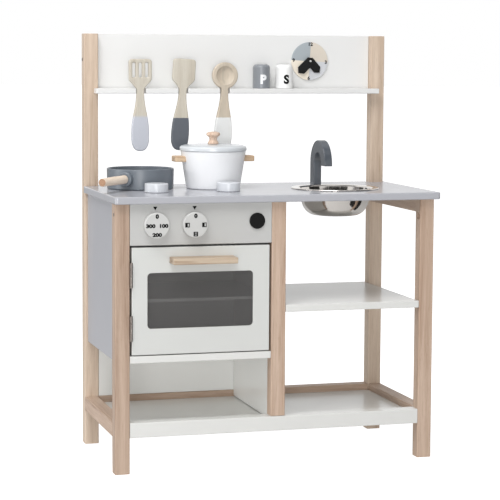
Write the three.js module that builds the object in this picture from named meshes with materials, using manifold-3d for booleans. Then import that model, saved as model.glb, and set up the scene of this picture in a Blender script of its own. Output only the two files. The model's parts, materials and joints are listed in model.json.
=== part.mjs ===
// Toy kitchen for children: birch frame, white boards, oven, sink, clock and loose cookware.
// Millimetres. X runs left to right, Y from the front to the back, Z up. The floor is Z = 0.
// Sizes below are measured from the outer front left corner of the frame; add() moves the
// finished pieces so that the origin lies under the middle of the whole footprint.
import * as THREE from "three";
import Module from "manifold-3d";
import { mergeVertices } from "three/addons/utils/BufferGeometryUtils.js";

const wasm = await Module();
wasm.setup();

// ---------------------------------------------------------------- driving dimensions
const WIDTH = 600; // over the posts
const DEPTH = 300; // over the posts
const HEIGHT = 782.7; // top of the back posts
const GAP = 0.3; // between touching pieces
const ORIGIN = { x: 295.08, y: 132.85 }; // middle of the footprint, pan handle and door pull included

const POST_W = 27;
const POST_D = 25;
const POST_EDGE = 2; // rounding of the long edges
const MIDDLE_X = 288; // left face of the middle post
const MIDDLE_W = 27;

const BOARD = 13; // thickness of the painted boards
const RAIL_BOTTOM = 65;
const RAIL_TOP = 92;
const RAIL_T = 25;
const TOP_RAIL_BOTTOM = 457.2;

const WORKTOP_BOTTOM = 482.5;
const WORKTOP_TOP = 495.6;
const WORKTOP_FRONT = -11.2;
const WORKTOP_LEFT = -1.6;
const WORKTOP_RIGHT = 608.5;

const SHELF_TOP = 680.2; // utensil shelf
const SHELF_T = 9.7;
const SHELF_FRONT = 250;
const SHELF_BACK = 291.7;
const SHELF_INSET = 18.5; // shelf end to the outside of the posts
const NOTCH_W = 19;
const NOTCH_BACK = 262;
const NOTCH_X = [104.5, 186.5, 268.5];

const PANEL_FRONT = 292; // upper back panel
const CLOCK_X = 450;
const CLOCK_Z = 733;
const CLOCK_R = 37;

const FASCIA_BOTTOM = 408.7;
const OVEN_KNOB_X = [73.5, 143.5];
const OVEN_KNOB_Z = 444.7;
const OVEN_KNOB_R = 23.8;
const OVEN_KNOB_T = 12;
const BADGE_X = 260;
const BADGE_Z = 449;

const DOOR = { left: 30.6, right: 284, bottom: 213.6, top: 405.2 };
const WINDOW = { left: 59, right: 253.3, bottom: 260, top: 359.5 };
const WINDOW_R = 7;
const PANE_Y = 2.8; // front of the pane behind the thin lip of the opening
const HANDLE = { left: 98.5, right: 216, bottom: 376.6, front: 387.4, back: 388, depth: 34 };
const HINGE_X = 28.8; // vertical axis of the oven door
const HINGE_Y = -3;
const HINGE_Z = [261.7, 356.6];
const HINGE_H = 45;
const KNUCKLE_R = 2.7;

const OVEN_FLOOR_TOP = 211.8;
const OVEN_SHELF_BOTTOM = 303;
const MID_SHELF_TOP = 294.7;
const BOTTOM_SHELF_TOP = 79.8;
const SIDE_PANEL_X = 6;
const DIVIDER_X = 295;
const LOWER_BACK_Y = 277.3;
const LOWER_BACK_T = 8;

const HOB_X = [96.5, 232];
const HOB_Y = 92;
const HOB_R = 21.5;
const HOB_H = 16.2;

const SINK = { x: 448, y: 122, rim: 82.5, mouth: 70, depth: 50 };
const TAP = { x: 435, t: 15.5, back: 235, outer: 44.5, inner: 21, end: 535.5, arch: 538.8 };
const POT = { x: 224, y: 172, bottom: 50.2, top: 61.2, h: 70.4, wall: 3 };
const LID_R = 62.6;
const POT_HANDLE = { w: 33, z: 546.3, h: 10.7, reach: 76.4 };
const PAN = { x: 89.4, y: 192.5, bottom: 61.6, top: 62.4, h: 38.2, wall: 3.4 };
const PAN_HANDLE = { turn: 37.5, z: 20.6, r: 7.8, length: 93 };
const SHAKER = { y: 270, r: 16.5, h: 46 };
const SHAKER_X = [346, 391.8];

// ---------------------------------------------------------------- materials
const paint = (name, hex, rough = 0.5, metal = 0) => {
  const m = new THREE.MeshStandardMaterial({ color: hex, roughness: rough, metalness: metal });
  m.name = name;
  return m;
};
const birch = () => paint("birch", 0xcdb9a4, 0.55);
const white = () => paint("white_paint", 0xeeeeec, 0.4);
const grey = () => paint("light_grey_paint", 0xb6b7bb, 0.45);
const slate = () => paint("slate_paint", 0x5c6167, 0.45);
const steel = () => paint("steel", 0xb9bbbd, 0.3, 1);
const black = () => paint("black_paint", 0x1d1c1b, 0.45);

// ---------------------------------------------------------------- shapes
function polygon(points) {
  return new THREE.Shape(points.map(([x, y]) => new THREE.Vector2(x, y)));
}

function roundedPoints(x0, y0, x1, y1, r, steps = 3) {
  const centres = [
    [x1 - r, y0 + r, -90],
    [x1 - r, y1 - r, 0],
    [x0 + r, y1 - r, 90],
    [x0 + r, y0 + r, 180],
  ];
  const points = [];
  for (const [cx, cy, start] of centres) {
    for (let i = 0; i <= steps; i += 1) {
      const a = THREE.MathUtils.degToRad(start + (90 * i) / steps);
      points.push([cx + r * Math.cos(a), cy + r * Math.sin(a)]);
    }
  }
  return points;
}

function circlePoints(cx, cy, r, steps) {
  const points = [];
  for (let i = 0; i < steps; i += 1) {
    const a = (2 * Math.PI * i) / steps;
    points.push([cx + r * Math.cos(a), cy + r * Math.sin(a)]);
  }
  return points;
}

function withHoles(outline, ...holes) {
  const shape = polygon(outline);
  for (const hole of holes) shape.holes.push(polygon(hole));
  return shape;
}

function extrude(shape, depth, edge = 0, edgeSteps = 1) {
  const geometry = new THREE.ExtrudeGeometry(shape, {
    depth: depth - 2 * edge,
    bevelEnabled: edge > 0,
    bevelThickness: edge,
    bevelSize: edge,
    bevelOffset: -edge,
    bevelSegments: edgeSteps,
    curveSegments: 8,
  });
  geometry.translate(0, 0, edge);
  return geometry;
}

const AXIS_X = new THREE.Vector3(1, 0, 0);
const AXIS_Y = new THREE.Vector3(0, 1, 0);
const AXIS_Z = new THREE.Vector3(0, 0, 1);

// outline in X and Y, thickness upwards
function flat(shape, bottom, depth, edge, edgeSteps) {
  return extrude(shape, depth, edge, edgeSteps).translate(0, 0, bottom);
}

// outline in X and Z, thickness from the front towards the back
function facing(shape, front, depth, edge, edgeSteps) {
  const turn = new THREE.Matrix4().makeBasis(AXIS_X, AXIS_Z, AXIS_Y.clone().negate());
  return extrude(shape, depth, edge, edgeSteps).applyMatrix4(turn).translate(0, front + depth, 0);
}

// outline in Y and Z, thickness from the left towards the right
function sideways(shape, left, depth, edge, edgeSteps) {
  const turn = new THREE.Matrix4().makeBasis(AXIS_Y, AXIS_Z, AXIS_X);
  return extrude(shape, depth, edge, edgeSteps).applyMatrix4(turn).translate(left, 0, 0);
}

// profile of radius and height turned about an upright axis
function turned(profile, x, y, z, steps) {
  const points = profile.map(([r, h]) => new THREE.Vector2(r, h));
  return new THREE.LatheGeometry(points, steps).rotateX(Math.PI / 2).translate(x, y, z);
}

// ---------------------------------------------------------------- booleans
function solid(geometry) {
  const bare = geometry.clone();
  bare.deleteAttribute("normal");
  bare.deleteAttribute("uv");
  const merged = mergeVertices(bare, 1e-4);
  const mesh = new wasm.Mesh({
    numProp: 3,
    vertProperties: new Float32Array(merged.attributes.position.array),
    triVerts: new Uint32Array(merged.index.array),
  });
  return new wasm.Manifold(mesh);
}

function skin(body) {
  const mesh = body.getMesh();
  const geometry = new THREE.BufferGeometry();
  geometry.setAttribute("position", new THREE.BufferAttribute(mesh.vertProperties, 3));
  geometry.setIndex(new THREE.BufferAttribute(mesh.triVerts, 1));
  const faceted = geometry.toNonIndexed();
  faceted.computeVertexNormals();
  return faceted;
}

const join = (first, ...rest) => skin(rest.reduce((body, g) => body.add(solid(g)), solid(first)));
const cut = (first, ...rest) => skin(rest.reduce((body, g) => body.subtract(solid(g)), solid(first)));

// ---------------------------------------------------------------- assembly
const kitchen = new THREE.Group();
kitchen.name = "toy_kitchen";

function add(name, geometry, material) {
  const mesh = new THREE.Mesh(geometry.translate(-ORIGIN.x, -ORIGIN.y, 0), material);
  mesh.name = name;
  kitchen.add(mesh);
}

// ---- posts and rails, all from the same rounded birch stock
function post(x, y, bottom, top, width = POST_W) {
  const outline = roundedPoints(x, y, x + width, y + POST_D, POST_EDGE, 2);
  return flat(polygon(outline), bottom, top - bottom, 0.8);
}

const postTop = WORKTOP_BOTTOM - GAP;
add("post_back_left", post(0, DEPTH - POST_D, 0, HEIGHT), birch());
add("post_back_right", post(WIDTH - POST_W, DEPTH - POST_D, 0, HEIGHT), birch());
add("post_front_left", post(0, 0, 0, postTop), birch());

const boltHole = sideways(polygon(circlePoints(11, 451, 6.8, 20)), WIDTH - POST_W - 1, 11);
add("post_front_right", cut(post(WIDTH - POST_W, 0, 0, postTop), boltHole), birch());
add("post_middle", post(MIDDLE_X, 0, RAIL_TOP + GAP, postTop, MIDDLE_W), birch());

function sideRail(left, bottom, top) {
  const outline = roundedPoints(left, bottom, left + RAIL_T, top, 1.5, 2);
  return facing(polygon(outline), POST_D + GAP, DEPTH - 2 * (POST_D + GAP));
}

function crossRail(front) {
  const outline = roundedPoints(front, RAIL_BOTTOM, front + RAIL_T, RAIL_TOP, 1.5, 2);
  return sideways(polygon(outline), POST_W + GAP, WIDTH - 2 * (POST_W + GAP));
}

add("rail_bottom_left", sideRail(0, RAIL_BOTTOM, RAIL_TOP), birch());
add("rail_bottom_right", sideRail(WIDTH - RAIL_T, RAIL_BOTTOM, RAIL_TOP), birch());
add("rail_bottom_back", crossRail(DEPTH - RAIL_T), birch());
add("rail_bottom_front", crossRail(0), white());
add("rail_top_right", sideRail(WIDTH - RAIL_T, TOP_RAIL_BOTTOM, postTop), birch());

// ---- boards of the lower cabinet
const inner = POST_D + GAP;
add(
  "bottom_shelf",
  flat(
    polygon(roundedPoints(RAIL_T + GAP, inner, WIDTH - RAIL_T - GAP, DEPTH - inner, 0.5, 1)),
    BOTTOM_SHELF_TOP - BOARD,
    BOARD,
    0.6,
  ),
  white(),
);

const sideInner = SIDE_PANEL_X + BOARD + GAP;
const ovenLeft = POST_W + GAP;
const ovenRight = MIDDLE_X - GAP;
const ovenFloorOutline = [
  [ovenLeft, 0],
  [ovenRight, 0],
  [ovenRight, inner],
  [DIVIDER_X - GAP, inner],
  [DIVIDER_X - GAP, LOWER_BACK_Y - GAP],
  [ovenLeft, LOWER_BACK_Y - GAP],
  [ovenLeft, DEPTH - inner],
  [sideInner, DEPTH - inner],
  [sideInner, inner],
  [ovenLeft, inner],
];
add("oven_floor", flat(polygon(ovenFloorOutline), OVEN_FLOOR_TOP - BOARD, BOARD, 0.8), white());
add(
  "oven_shelf",
  flat(polygon(roundedPoints(sideInner, 32, DIVIDER_X - GAP, 268, 1, 1)), OVEN_SHELF_BOTTOM, 6, 0.6),
  white(),
);

const midShelfOutline = [
  [MIDDLE_X + MIDDLE_W + GAP, 0],
  [WIDTH - POST_W - GAP, 0],
  [WIDTH - POST_W - GAP, DEPTH],
  [DIVIDER_X + BOARD + GAP, DEPTH],
  [DIVIDER_X + BOARD + GAP, inner],
  [MIDDLE_X + MIDDLE_W + GAP, inner],
];
add("mid_shelf", flat(polygon(midShelfOutline), MID_SHELF_TOP - BOARD, BOARD, 0.8), white());

const dividerOutline = [
  [inner, BOTTOM_SHELF_TOP + GAP],
  [DEPTH - inner, BOTTOM_SHELF_TOP + GAP],
  [DEPTH - inner, RAIL_TOP + GAP],
  [LOWER_BACK_Y - GAP, RAIL_TOP + GAP],
  [LOWER_BACK_Y - GAP, postTop],
  [inner, postTop],
];
add("divider_panel", sideways(polygon(dividerOutline), DIVIDER_X, BOARD, 0.6), white());

const sidePanelOutline = roundedPoints(inner, OVEN_FLOOR_TOP - BOARD, DEPTH - inner, postTop, 0.5, 1);
add("side_panel_left", sideways(polygon(sidePanelOutline), SIDE_PANEL_X, BOARD, 0.6), grey());

const lowerBackRight = DIVIDER_X + BOARD - GAP;
const lowerBack = roundedPoints(ovenLeft, RAIL_TOP + GAP, lowerBackRight, postTop, 0.5, 1);
add("back_panel_lower", facing(polygon(lowerBack), LOWER_BACK_Y, LOWER_BACK_T, 0.5), white());

// ---- upper back panel and utensil shelf
const upperBack = roundedPoints(ovenLeft, SHELF_TOP - SHELF_T, WIDTH - ovenLeft, HEIGHT, 0.5, 1);
const pinHole = circlePoints(CLOCK_X, CLOCK_Z, 2.4, 12);
add("back_panel_upper", facing(withHoles(upperBack, pinHole), PANEL_FRONT, 8, 0.6), white());

function notch(x) {
  const half = NOTCH_W / 2;
  const r = 3;
  const points = [[x - half, SHELF_FRONT]];
  for (let i = 0; i <= 3; i += 1) {
    const a = (Math.PI * i) / 6;
    points.push([x - half + r - r * Math.cos(a), NOTCH_BACK - r + r * Math.sin(a)]);
  }
  for (let i = 3; i >= 0; i -= 1) {
    const a = (Math.PI * i) / 6;
    points.push([x + half - r + r * Math.cos(a), NOTCH_BACK - r + r * Math.sin(a)]);
  }
  points.push([x + half, SHELF_FRONT]);
  return points;
}

const shelfOutline = [
  [SHELF_INSET, SHELF_FRONT],
  ...NOTCH_X.flatMap(notch),
  [WIDTH - SHELF_INSET, SHELF_FRONT],
  [WIDTH - SHELF_INSET, DEPTH - POST_D - GAP],
  [WIDTH - ovenLeft, DEPTH - POST_D - GAP],
  [WIDTH - ovenLeft, SHELF_BACK],
  [ovenLeft, SHELF_BACK],
  [ovenLeft, DEPTH - POST_D - GAP],
  [SHELF_INSET, DEPTH - POST_D - GAP],
];
add("top_shelf", flat(polygon(shelfOutline), SHELF_TOP - SHELF_T, SHELF_T, 0.8), white());

// ---- worktop, notched round the back posts, with the sink and the spindle holes
const postClear = POST_W + GAP;
const rightPost = WIDTH - POST_W - GAP;
const worktopOutline = [
  [WORKTOP_LEFT + 5, WORKTOP_FRONT],
  [WORKTOP_RIGHT - 5, WORKTOP_FRONT],
  [WORKTOP_RIGHT - 1.5, WORKTOP_FRONT + 1.5],
  [WORKTOP_RIGHT, WORKTOP_FRONT + 5],
  [WORKTOP_RIGHT, DEPTH],
  [WIDTH + GAP, DEPTH],
  [WIDTH + GAP, DEPTH - postClear + 2],
  [rightPost, DEPTH - postClear + 2],
  [rightPost, DEPTH],
  [postClear, DEPTH],
  [postClear, DEPTH - postClear + 2],
  [WORKTOP_LEFT, DEPTH - postClear + 2],
  [WORKTOP_LEFT, WORKTOP_FRONT + 5],
  [WORKTOP_LEFT + 1.5, WORKTOP_FRONT + 1.5],
];
const tapX = TAP.x + TAP.t / 2;
const tapY = TAP.back - (TAP.outer - TAP.inner) / 2;
const worktopHoles = [
  circlePoints(SINK.x, SINK.y, SINK.mouth + 1, 48),
  circlePoints(tapX, tapY, 6.6, 16),
  ...HOB_X.map((x) => circlePoints(x, HOB_Y, 4.6, 14)),
];
add(
  "worktop",
  flat(withHoles(worktopOutline, ...worktopHoles), WORKTOP_BOTTOM, WORKTOP_TOP - WORKTOP_BOTTOM, 2, 2),
  grey(),
);

// ---- oven front: control panel, knobs, badge
const fasciaOutline = roundedPoints(ovenLeft, FASCIA_BOTTOM, ovenRight, postTop, 0.8, 1);
const fasciaHoles = OVEN_KNOB_X.map((x) => circlePoints(x, OVEN_KNOB_Z, 4.6, 14));
add("control_panel", facing(withHoles(fasciaOutline, ...fasciaHoles), 0, BOARD, 0.8), white());

function ovenKnob(x) {
  const profile = [
    [0, -15.5],
    [4, -15.5],
    [4, 0],
    [OVEN_KNOB_R - 0.8, 0],
    [OVEN_KNOB_R, 0.8],
    [OVEN_KNOB_R, OVEN_KNOB_T - 1.4],
    [OVEN_KNOB_R - 0.4, OVEN_KNOB_T - 0.4],
    [OVEN_KNOB_R - 1.4, OVEN_KNOB_T],
    [0, OVEN_KNOB_T],
  ];
  return turned(profile, 0, 0, 0, 36).rotateX(Math.PI / 2).translate(x, -0.5, OVEN_KNOB_Z);
}

add("oven_knob_temperature", ovenKnob(OVEN_KNOB_X[0]), white());
add("oven_knob_mode", ovenKnob(OVEN_KNOB_X[1]), white());
add(
  "badge",
  facing(polygon(circlePoints(BADGE_X, BADGE_Z, 14.5, 32)), -2.8, 2.5, 0.5),
  black(),
);

// ---- oven door: frame board, rebated pane, bar handle
const doorOutline = roundedPoints(DOOR.left, DOOR.bottom, DOOR.right, DOOR.top, 1.5, 1);
const windowOutline = roundedPoints(WINDOW.left, WINDOW.bottom, WINDOW.right, WINDOW.top, WINDOW_R, 4);
const rebate = facing(
  polygon(roundedPoints(WINDOW.left - 5, WINDOW.bottom - 5, WINDOW.right + 5, WINDOW.top + 5, 3, 2)),
  PANE_Y - GAP,
  BOARD,
);
const doorBoard = facing(withHoles(doorOutline, windowOutline), 0, BOARD, 0.8);
add("oven_door", cut(doorBoard, rebate), white());

const paneOutline = roundedPoints(
  WINDOW.left - 4.6,
  WINDOW.bottom - 4.6,
  WINDOW.right + 4.6,
  WINDOW.top + 4.6,
  3,
  2,
);
add("oven_window", facing(polygon(paneOutline), PANE_Y, 3), paint("smoked_acrylic", 0x4b4a49, 0.1));

const handleOutline = [
  [-HANDLE.depth - GAP, HANDLE.bottom + 1],
  [-HANDLE.depth - GAP + 1, HANDLE.bottom],
  [-GAP, HANDLE.bottom],
  [-GAP, HANDLE.back],
  [-HANDLE.depth - GAP + 1.5, HANDLE.front],
  [-HANDLE.depth - GAP, HANDLE.front - 1.5],
];
const handleLength = HANDLE.right - HANDLE.left;
add("door_handle", sideways(polygon(handleOutline), HANDLE.left, handleLength, 0.8), birch());

// ---- oven hinges: two leaves with knuckles on a pin each
function hingeLeaf(z, plateLeft, onFrame) {
  const part = (HINGE_H - 2 * GAP) / 3;
  const low = z - HINGE_H / 2;
  const plate = flat(
    polygon([
      [plateLeft, 0.4],
      [plateLeft + 1, 0.4],
      [plateLeft + 1, 11.5],
      [plateLeft, 11.5],
    ]),
    low,
    HINGE_H,
  );
  const starts = onFrame ? [low, low + 2 * (part + GAP)] : [low + part + GAP];
  const pieces = starts.flatMap((start) => [
    flat(polygon(circlePoints(HINGE_X, HINGE_Y, KNUCKLE_R, 16)), start, part),
    flat(
      polygon([
        [plateLeft, HINGE_Y],
        [plateLeft + 1, HINGE_Y],
        [plateLeft + 1, 1],
        [plateLeft, 1],
      ]),
      start,
      part,
    ),
  ]);
  const bore = flat(polygon(circlePoints(HINGE_X, HINGE_Y, 1.6, 12)), low - 1, HINGE_H + 2);
  const leaf = [plate, ...pieces].map(solid).reduce((body, piece) => body.add(piece));
  return skin(leaf.subtract(solid(bore)));
}

["lower", "upper"].forEach((level, i) => {
  const z = HINGE_Z[i];
  const pin = polygon(circlePoints(HINGE_X, HINGE_Y, 1.25, 12));
  add(`hinge_${level}_frame_leaf`, hingeLeaf(z, POST_W + GAP, true), steel());
  add(`hinge_${level}_door_leaf`, hingeLeaf(z, DOOR.left - GAP - 1, false), steel());
  add(`hinge_${level}_pin`, flat(pin, z - HINGE_H / 2 - 0.5, HINGE_H + 1), steel());
});

// ---- hob knobs standing on the worktop
function hobKnob(x) {
  const profile = [
    [0, -14],
    [4, -14],
    [4, 0],
    [HOB_R - 0.8, 0],
    [HOB_R, 0.8],
    [HOB_R, HOB_H - 1.8],
    [HOB_R - 0.5, HOB_H - 0.5],
    [HOB_R - 1.8, HOB_H],
    [0, HOB_H],
  ];
  return turned(profile, x, HOB_Y, WORKTOP_TOP + 0.5, 36);
}

add("hob_knob_left", hobKnob(HOB_X[0]), white());
add("hob_knob_right", hobKnob(HOB_X[1]), white());

// ---- sink bowl hanging in the worktop by its rolled rim
const rimUnder = GAP;
const bowl = [
  [SINK.mouth - 1.5, rimUnder],
  [SINK.mouth - 3, -8],
  [SINK.mouth - 4.8, -16],
  [SINK.mouth - 8.6, -30],
  [SINK.mouth - 14.8, -41],
  [45.5, -SINK.depth + 2],
  [38, -SINK.depth],
];
const sinkProfile = [
  [0, -SINK.depth],
  ...[...bowl].reverse().map(([r, h]) => [r, h]),
  [SINK.rim - 1.5, rimUnder],
  [SINK.rim, rimUnder + 0.6],
  [SINK.rim - 0.4, rimUnder + 1.9],
  [SINK.rim - 2, rimUnder + 2.3],
  [SINK.mouth + 1, rimUnder + 1.4],
  ...bowl.map(([r, h]) => [r - 1, h + 0.9]),
  [0, -SINK.depth + 1],
];
add("sink_bowl", turned(sinkProfile, SINK.x, SINK.y, WORKTOP_TOP, 56), steel());

// ---- cane-shaped tap cut from board, turning on a dowel in the worktop
function tapOutline() {
  const zCentre = TAP.arch;
  const yCentre = TAP.back - TAP.outer;
  const points = [
    [TAP.back, WORKTOP_TOP + 0.4],
    [TAP.back, zCentre],
  ];
  for (let i = 1; i < 14; i += 1) {
    const a = (Math.PI * i) / 14;
    points.push([yCentre + TAP.outer * Math.cos(a), zCentre + TAP.outer * Math.sin(a)]);
  }
  points.push([TAP.back - 2 * TAP.outer, TAP.end]);
  points.push([yCentre - TAP.inner, TAP.end]);
  for (let i = 11; i >= 1; i -= 1) {
    const a = (Math.PI * i) / 12;
    points.push([yCentre + TAP.inner * Math.cos(a), zCentre + TAP.inner * Math.sin(a)]);
  }
  points.push([yCentre + TAP.inner, zCentre]);
  points.push([yCentre + TAP.inner, WORKTOP_TOP + 0.4]);
  return points;
}

const tapBoard = sideways(polygon(tapOutline()), TAP.x, TAP.t, 1.2);
const tapDowel = flat(polygon(circlePoints(tapX, tapY, 6, 16)), WORKTOP_BOTTOM + 1, 16);
add("faucet", join(tapBoard, tapDowel), slate());

// ---- clock: disc, two hexagonal hands and their pin
add(
  "clock_face",
  facing(withHoles(circlePoints(CLOCK_X, CLOCK_Z, CLOCK_R, 56), pinHole), 288.7, 3, 0.5),
  paint("clock_cream", 0xd8d2c6, 0.5),
);

function clockHand(length, width, direction, front) {
  const half = width / 2;
  const outline = [
    [-8, 0],
    [-1.5, -half],
    [length - 7.5, -half],
    [length, 0],
    [length - 7.5, half],
    [-1.5, half],
  ];
  const a = THREE.MathUtils.degToRad(direction);
  const place = ([u, v]) => [
    CLOCK_X + u * Math.cos(a) - v * Math.sin(a),
    CLOCK_Z + u * Math.sin(a) + v * Math.cos(a),
  ];
  return facing(withHoles(outline.map(place), circlePoints(CLOCK_X, CLOCK_Z, 2.4, 12)), front, 2.4, 0.4);
}

add("clock_hour_hand", clockHand(30, 17, -48.5, 286), black());
add("clock_minute_hand", clockHand(34, 18, -136.5, 283.3), black());
add("clock_pin", facing(polygon(circlePoints(CLOCK_X, CLOCK_Z, 2, 12)), 282.3, 15.2), white());

// ---- utensils hanging by their shoulders in the shelf notches
const HANDLE_SIDE = [
  [0, -118.6],
  [7.5, -117],
  [13, -111.5],
  [16.2, -102],
  [17, -90],
  [16.8, -78],
  [15.6, -64],
  [13.2, -50],
  [10.3, -36],
  [8.3, -23],
  [7.3, -10],
];
const PADDLE_SIDE = [
  [7.4, -3],
  [9.4, 1.3],
  [14, 7],
  [19.5, 12.8],
  [21.6, 17],
  [22, 22],
  [22, 48.5],
  [21.2, 52],
  [18, 54.6],
];

function mirrored(side) {
  const start = side[0][0] === 0 ? 1 : 0;
  const left = side.slice(start).reverse().map(([x, z]) => [-x, z]);
  return [...side, ...left];
}

function slot(x, bottom, top, half) {
  const points = [];
  for (let i = 0; i <= 4; i += 1) {
    const a = (Math.PI * i) / 4;
    points.push([x + half * Math.cos(a), top - half + half * Math.sin(a)]);
  }
  for (let i = 0; i <= 4; i += 1) {
    const a = Math.PI + (Math.PI * i) / 4;
    points.push([x + half * Math.cos(a), bottom + half + half * Math.sin(a)]);
  }
  return points;
}

function hang(geometry, x, lift, tilt) {
  return geometry.rotateY(THREE.MathUtils.degToRad(tilt)).translate(x, 0, SHELF_TOP + lift);
}

const paddle = mirrored([...HANDLE_SIDE, ...PADDLE_SIDE]);
const slots = [-12.5, 0, 12.5].map((x) => slot(x, 20, 48.5, 3.15));
add("spatula_slotted", hang(facing(withHoles(paddle, ...slots), 251.6, 8, 1.2), 103.4, 0.3, 0), birch());
add("spatula_flat", hang(facing(polygon(paddle), 251.6, 8, 1.2), 186.4, 1, 3.6), birch());

function ladleSide() {
  const side = [...HANDLE_SIDE, [7.3, -1]];
  for (let i = 0; i <= 10; i += 1) {
    const a = THREE.MathUtils.degToRad(-68 + 15.4 * i);
    side.push([25.2 * Math.cos(a), 24.2 + 25.2 * Math.sin(a)]);
  }
  return side;
}

const ladleBowl = turned(
  [
    [0, -4.6],
    [8, -4],
    [14, -2.2],
    [19, 1],
    [0, 1],
  ],
  0,
  0,
  0,
  28,
)
  .rotateX(Math.PI / 2)
  .translate(0, 251.2, 24.2);
const ladleBoard = facing(polygon(mirrored(ladleSide())), 251.2, 9, 1.4);
add("ladle", hang(cut(ladleBoard, ladleBowl), 268.4, 0.6, 1.8), birch());

// ---- shakers on the shelf
function shaker(x) {
  const profile = [
    [0, 0],
    [SHAKER.r - 1, 0],
    [SHAKER.r, 1],
    [SHAKER.r, SHAKER.h - 6],
    [SHAKER.r - 0.8, SHAKER.h - 3],
    [SHAKER.r - 3, SHAKER.h - 0.8],
    [SHAKER.r - 6, SHAKER.h],
    [0, SHAKER.h],
  ];
  return turned(profile, x, SHAKER.y, SHELF_TOP + GAP, 28);
}

add("pepper_shaker", shaker(SHAKER_X[0]), slate());
add("salt_shaker", shaker(SHAKER_X[1]), white());

// ---- pan with a dowel handle in a round boss
const panProfile = [
  [0, 0],
  [PAN.bottom - 3, 0],
  [PAN.bottom - 0.8, 0.8],
  [PAN.bottom, 3],
  [PAN.top, PAN.h - 1],
  [PAN.top - 1, PAN.h],
  [PAN.top - PAN.wall + 1, PAN.h],
  [PAN.top - PAN.wall, PAN.h - 1],
  [PAN.bottom - PAN.wall, 7],
  [PAN.bottom - PAN.wall - 3, 4],
  [0, 4],
];
const panBottom = WORKTOP_TOP + GAP;
const panShell = turned(panProfile, PAN.x, PAN.y, panBottom, 48);

// geometry built along +Z is laid down to point outwards from the pan wall
function layOutwards(geometry, start) {
  const turn = THREE.MathUtils.degToRad(PAN_HANDLE.turn);
  const outwards = new THREE.Vector3(-Math.sin(turn), -Math.cos(turn), 0);
  const across = new THREE.Vector3().crossVectors(AXIS_Z, outwards);
  const basis = new THREE.Matrix4().makeBasis(across, outwards.clone().cross(across), outwards);
  const at = outwards.multiplyScalar(start);
  return geometry
    .applyMatrix4(basis)
    .translate(PAN.x + at.x, PAN.y + at.y, panBottom + PAN_HANDLE.z);
}

const bossStart = PAN.bottom - 1.6;
const bossEnd = PAN.top + 8;
const boss = layOutwards(
  turned(
    [
      [0, 0],
      [14, 0],
      [14, bossEnd - bossStart - 2],
      [13.3, bossEnd - bossStart - 0.6],
      [11.8, bossEnd - bossStart],
      [0, bossEnd - bossStart],
    ],
    0,
    0,
    0,
    28,
  ),
  bossStart,
);
const socket = layOutwards(flat(polygon(circlePoints(0, 0, PAN_HANDLE.r + GAP, 24)), 0, 20), bossEnd - 5);
add("pan_body", cut(join(panShell, boss), socket), slate());

const dowelLength = PAN_HANDLE.length + 4;
const dowel = turned(
  [
    [0, 0],
    [PAN_HANDLE.r - 0.6, 0],
    [PAN_HANDLE.r, 0.8],
    [PAN_HANDLE.r, dowelLength * 0.5],
    [PAN_HANDLE.r - 0.6, dowelLength - 1.2],
    [PAN_HANDLE.r - 1.8, dowelLength],
    [0, dowelLength],
  ],
  0,
  0,
  0,
  24,
);
add("pan_handle", layOutwards(dowel, bossEnd - 4.6), birch());

// ---- pot: tapered body, block handles, domed lid with a turned knob
const potProfile = [
  [0, 0],
  [POT.bottom - 3, 0],
  [POT.bottom - 0.8, 0.9],
  [POT.bottom, 3],
  [POT.top, POT.h - 1],
  [POT.top - 0.8, POT.h],
  [POT.top - POT.wall + 0.8, POT.h],
  [POT.top - POT.wall, POT.h - 1],
  [POT.bottom - POT.wall, 7],
  [POT.bottom - POT.wall - 3, 4],
  [0, 4],
];
const potBottom = WORKTOP_TOP + GAP;
add("pot_body", turned(potProfile, POT.x, POT.y, potBottom, 48), white());

const potWallCut = turned(
  [
    [0, -2],
    [POT.bottom + GAP + 0.1, -2],
    [POT.bottom + GAP + 0.1, 3],
    [POT.top + GAP + 0.1, POT.h - 1],
    [POT.top + GAP + 0.1, POT.h + 4],
    [0, POT.h + 4],
  ],
  POT.x,
  POT.y,
  potBottom,
  48,
);
const halfHandle = POT_HANDLE.w / 2;
[
  ["pot_handle_left", -POT_HANDLE.reach, -50],
  ["pot_handle_right", 50, POT_HANDLE.reach],
].forEach(([name, from, to]) => {
  const left = POT.x + from;
  const right = POT.x + to;
  const outline = roundedPoints(left, POT.y - halfHandle, right, POT.y + halfHandle, 3, 3);
  add(name, cut(flat(polygon(outline), POT_HANDLE.z, POT_HANDLE.h, 1.2), potWallCut), birch());
});

const lidBottom = potBottom + POT.h + GAP;
const lidTop = 11.6;
const lidProfile = [
  [0, -2.6],
  [POT.top - POT.wall - 1.2, -2.6],
  [POT.top - POT.wall - 0.6, -2],
  [POT.top - POT.wall - 0.6, 0],
  [LID_R - 0.6, 0],
  [LID_R, 0.8],
  [LID_R, 4.2],
  [LID_R - 1.2, 6.6],
  [LID_R - 4.6, 8.8],
  [LID_R - 12, 10.4],
  [LID_R - 28, 11.3],
  [12, lidTop],
  [0, lidTop],
];
add("pot_lid", turned(lidProfile, POT.x, POT.y, lidBottom, 48), white());

const lidKnobProfile = [
  [0, 0],
  [9.8, 0],
  [10.2, 0.6],
  [10, 2.6],
  [8, 5.2],
  [6.8, 8.6],
  [7.2, 11.6],
  [9, 14.2],
  [11.8, 15.8],
  [12.8, 17.6],
  [12.6, 19.6],
  [11, 21.4],
  [7, 22.8],
  [0, 23.4],
];
add("pot_lid_knob", turned(lidKnobProfile, POT.x, POT.y, lidBottom + lidTop + GAP, 24), birch());

// ---- round caps over the screws that hold the panel and the fascia between the posts
function screwCap(x, y, z, towards) {
  const cap = polygon(circlePoints(y, z, 3.2, 14));
  return sideways(cap, towards < 0 ? x - 1.1 : x + GAP, 0.8);
}

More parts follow.
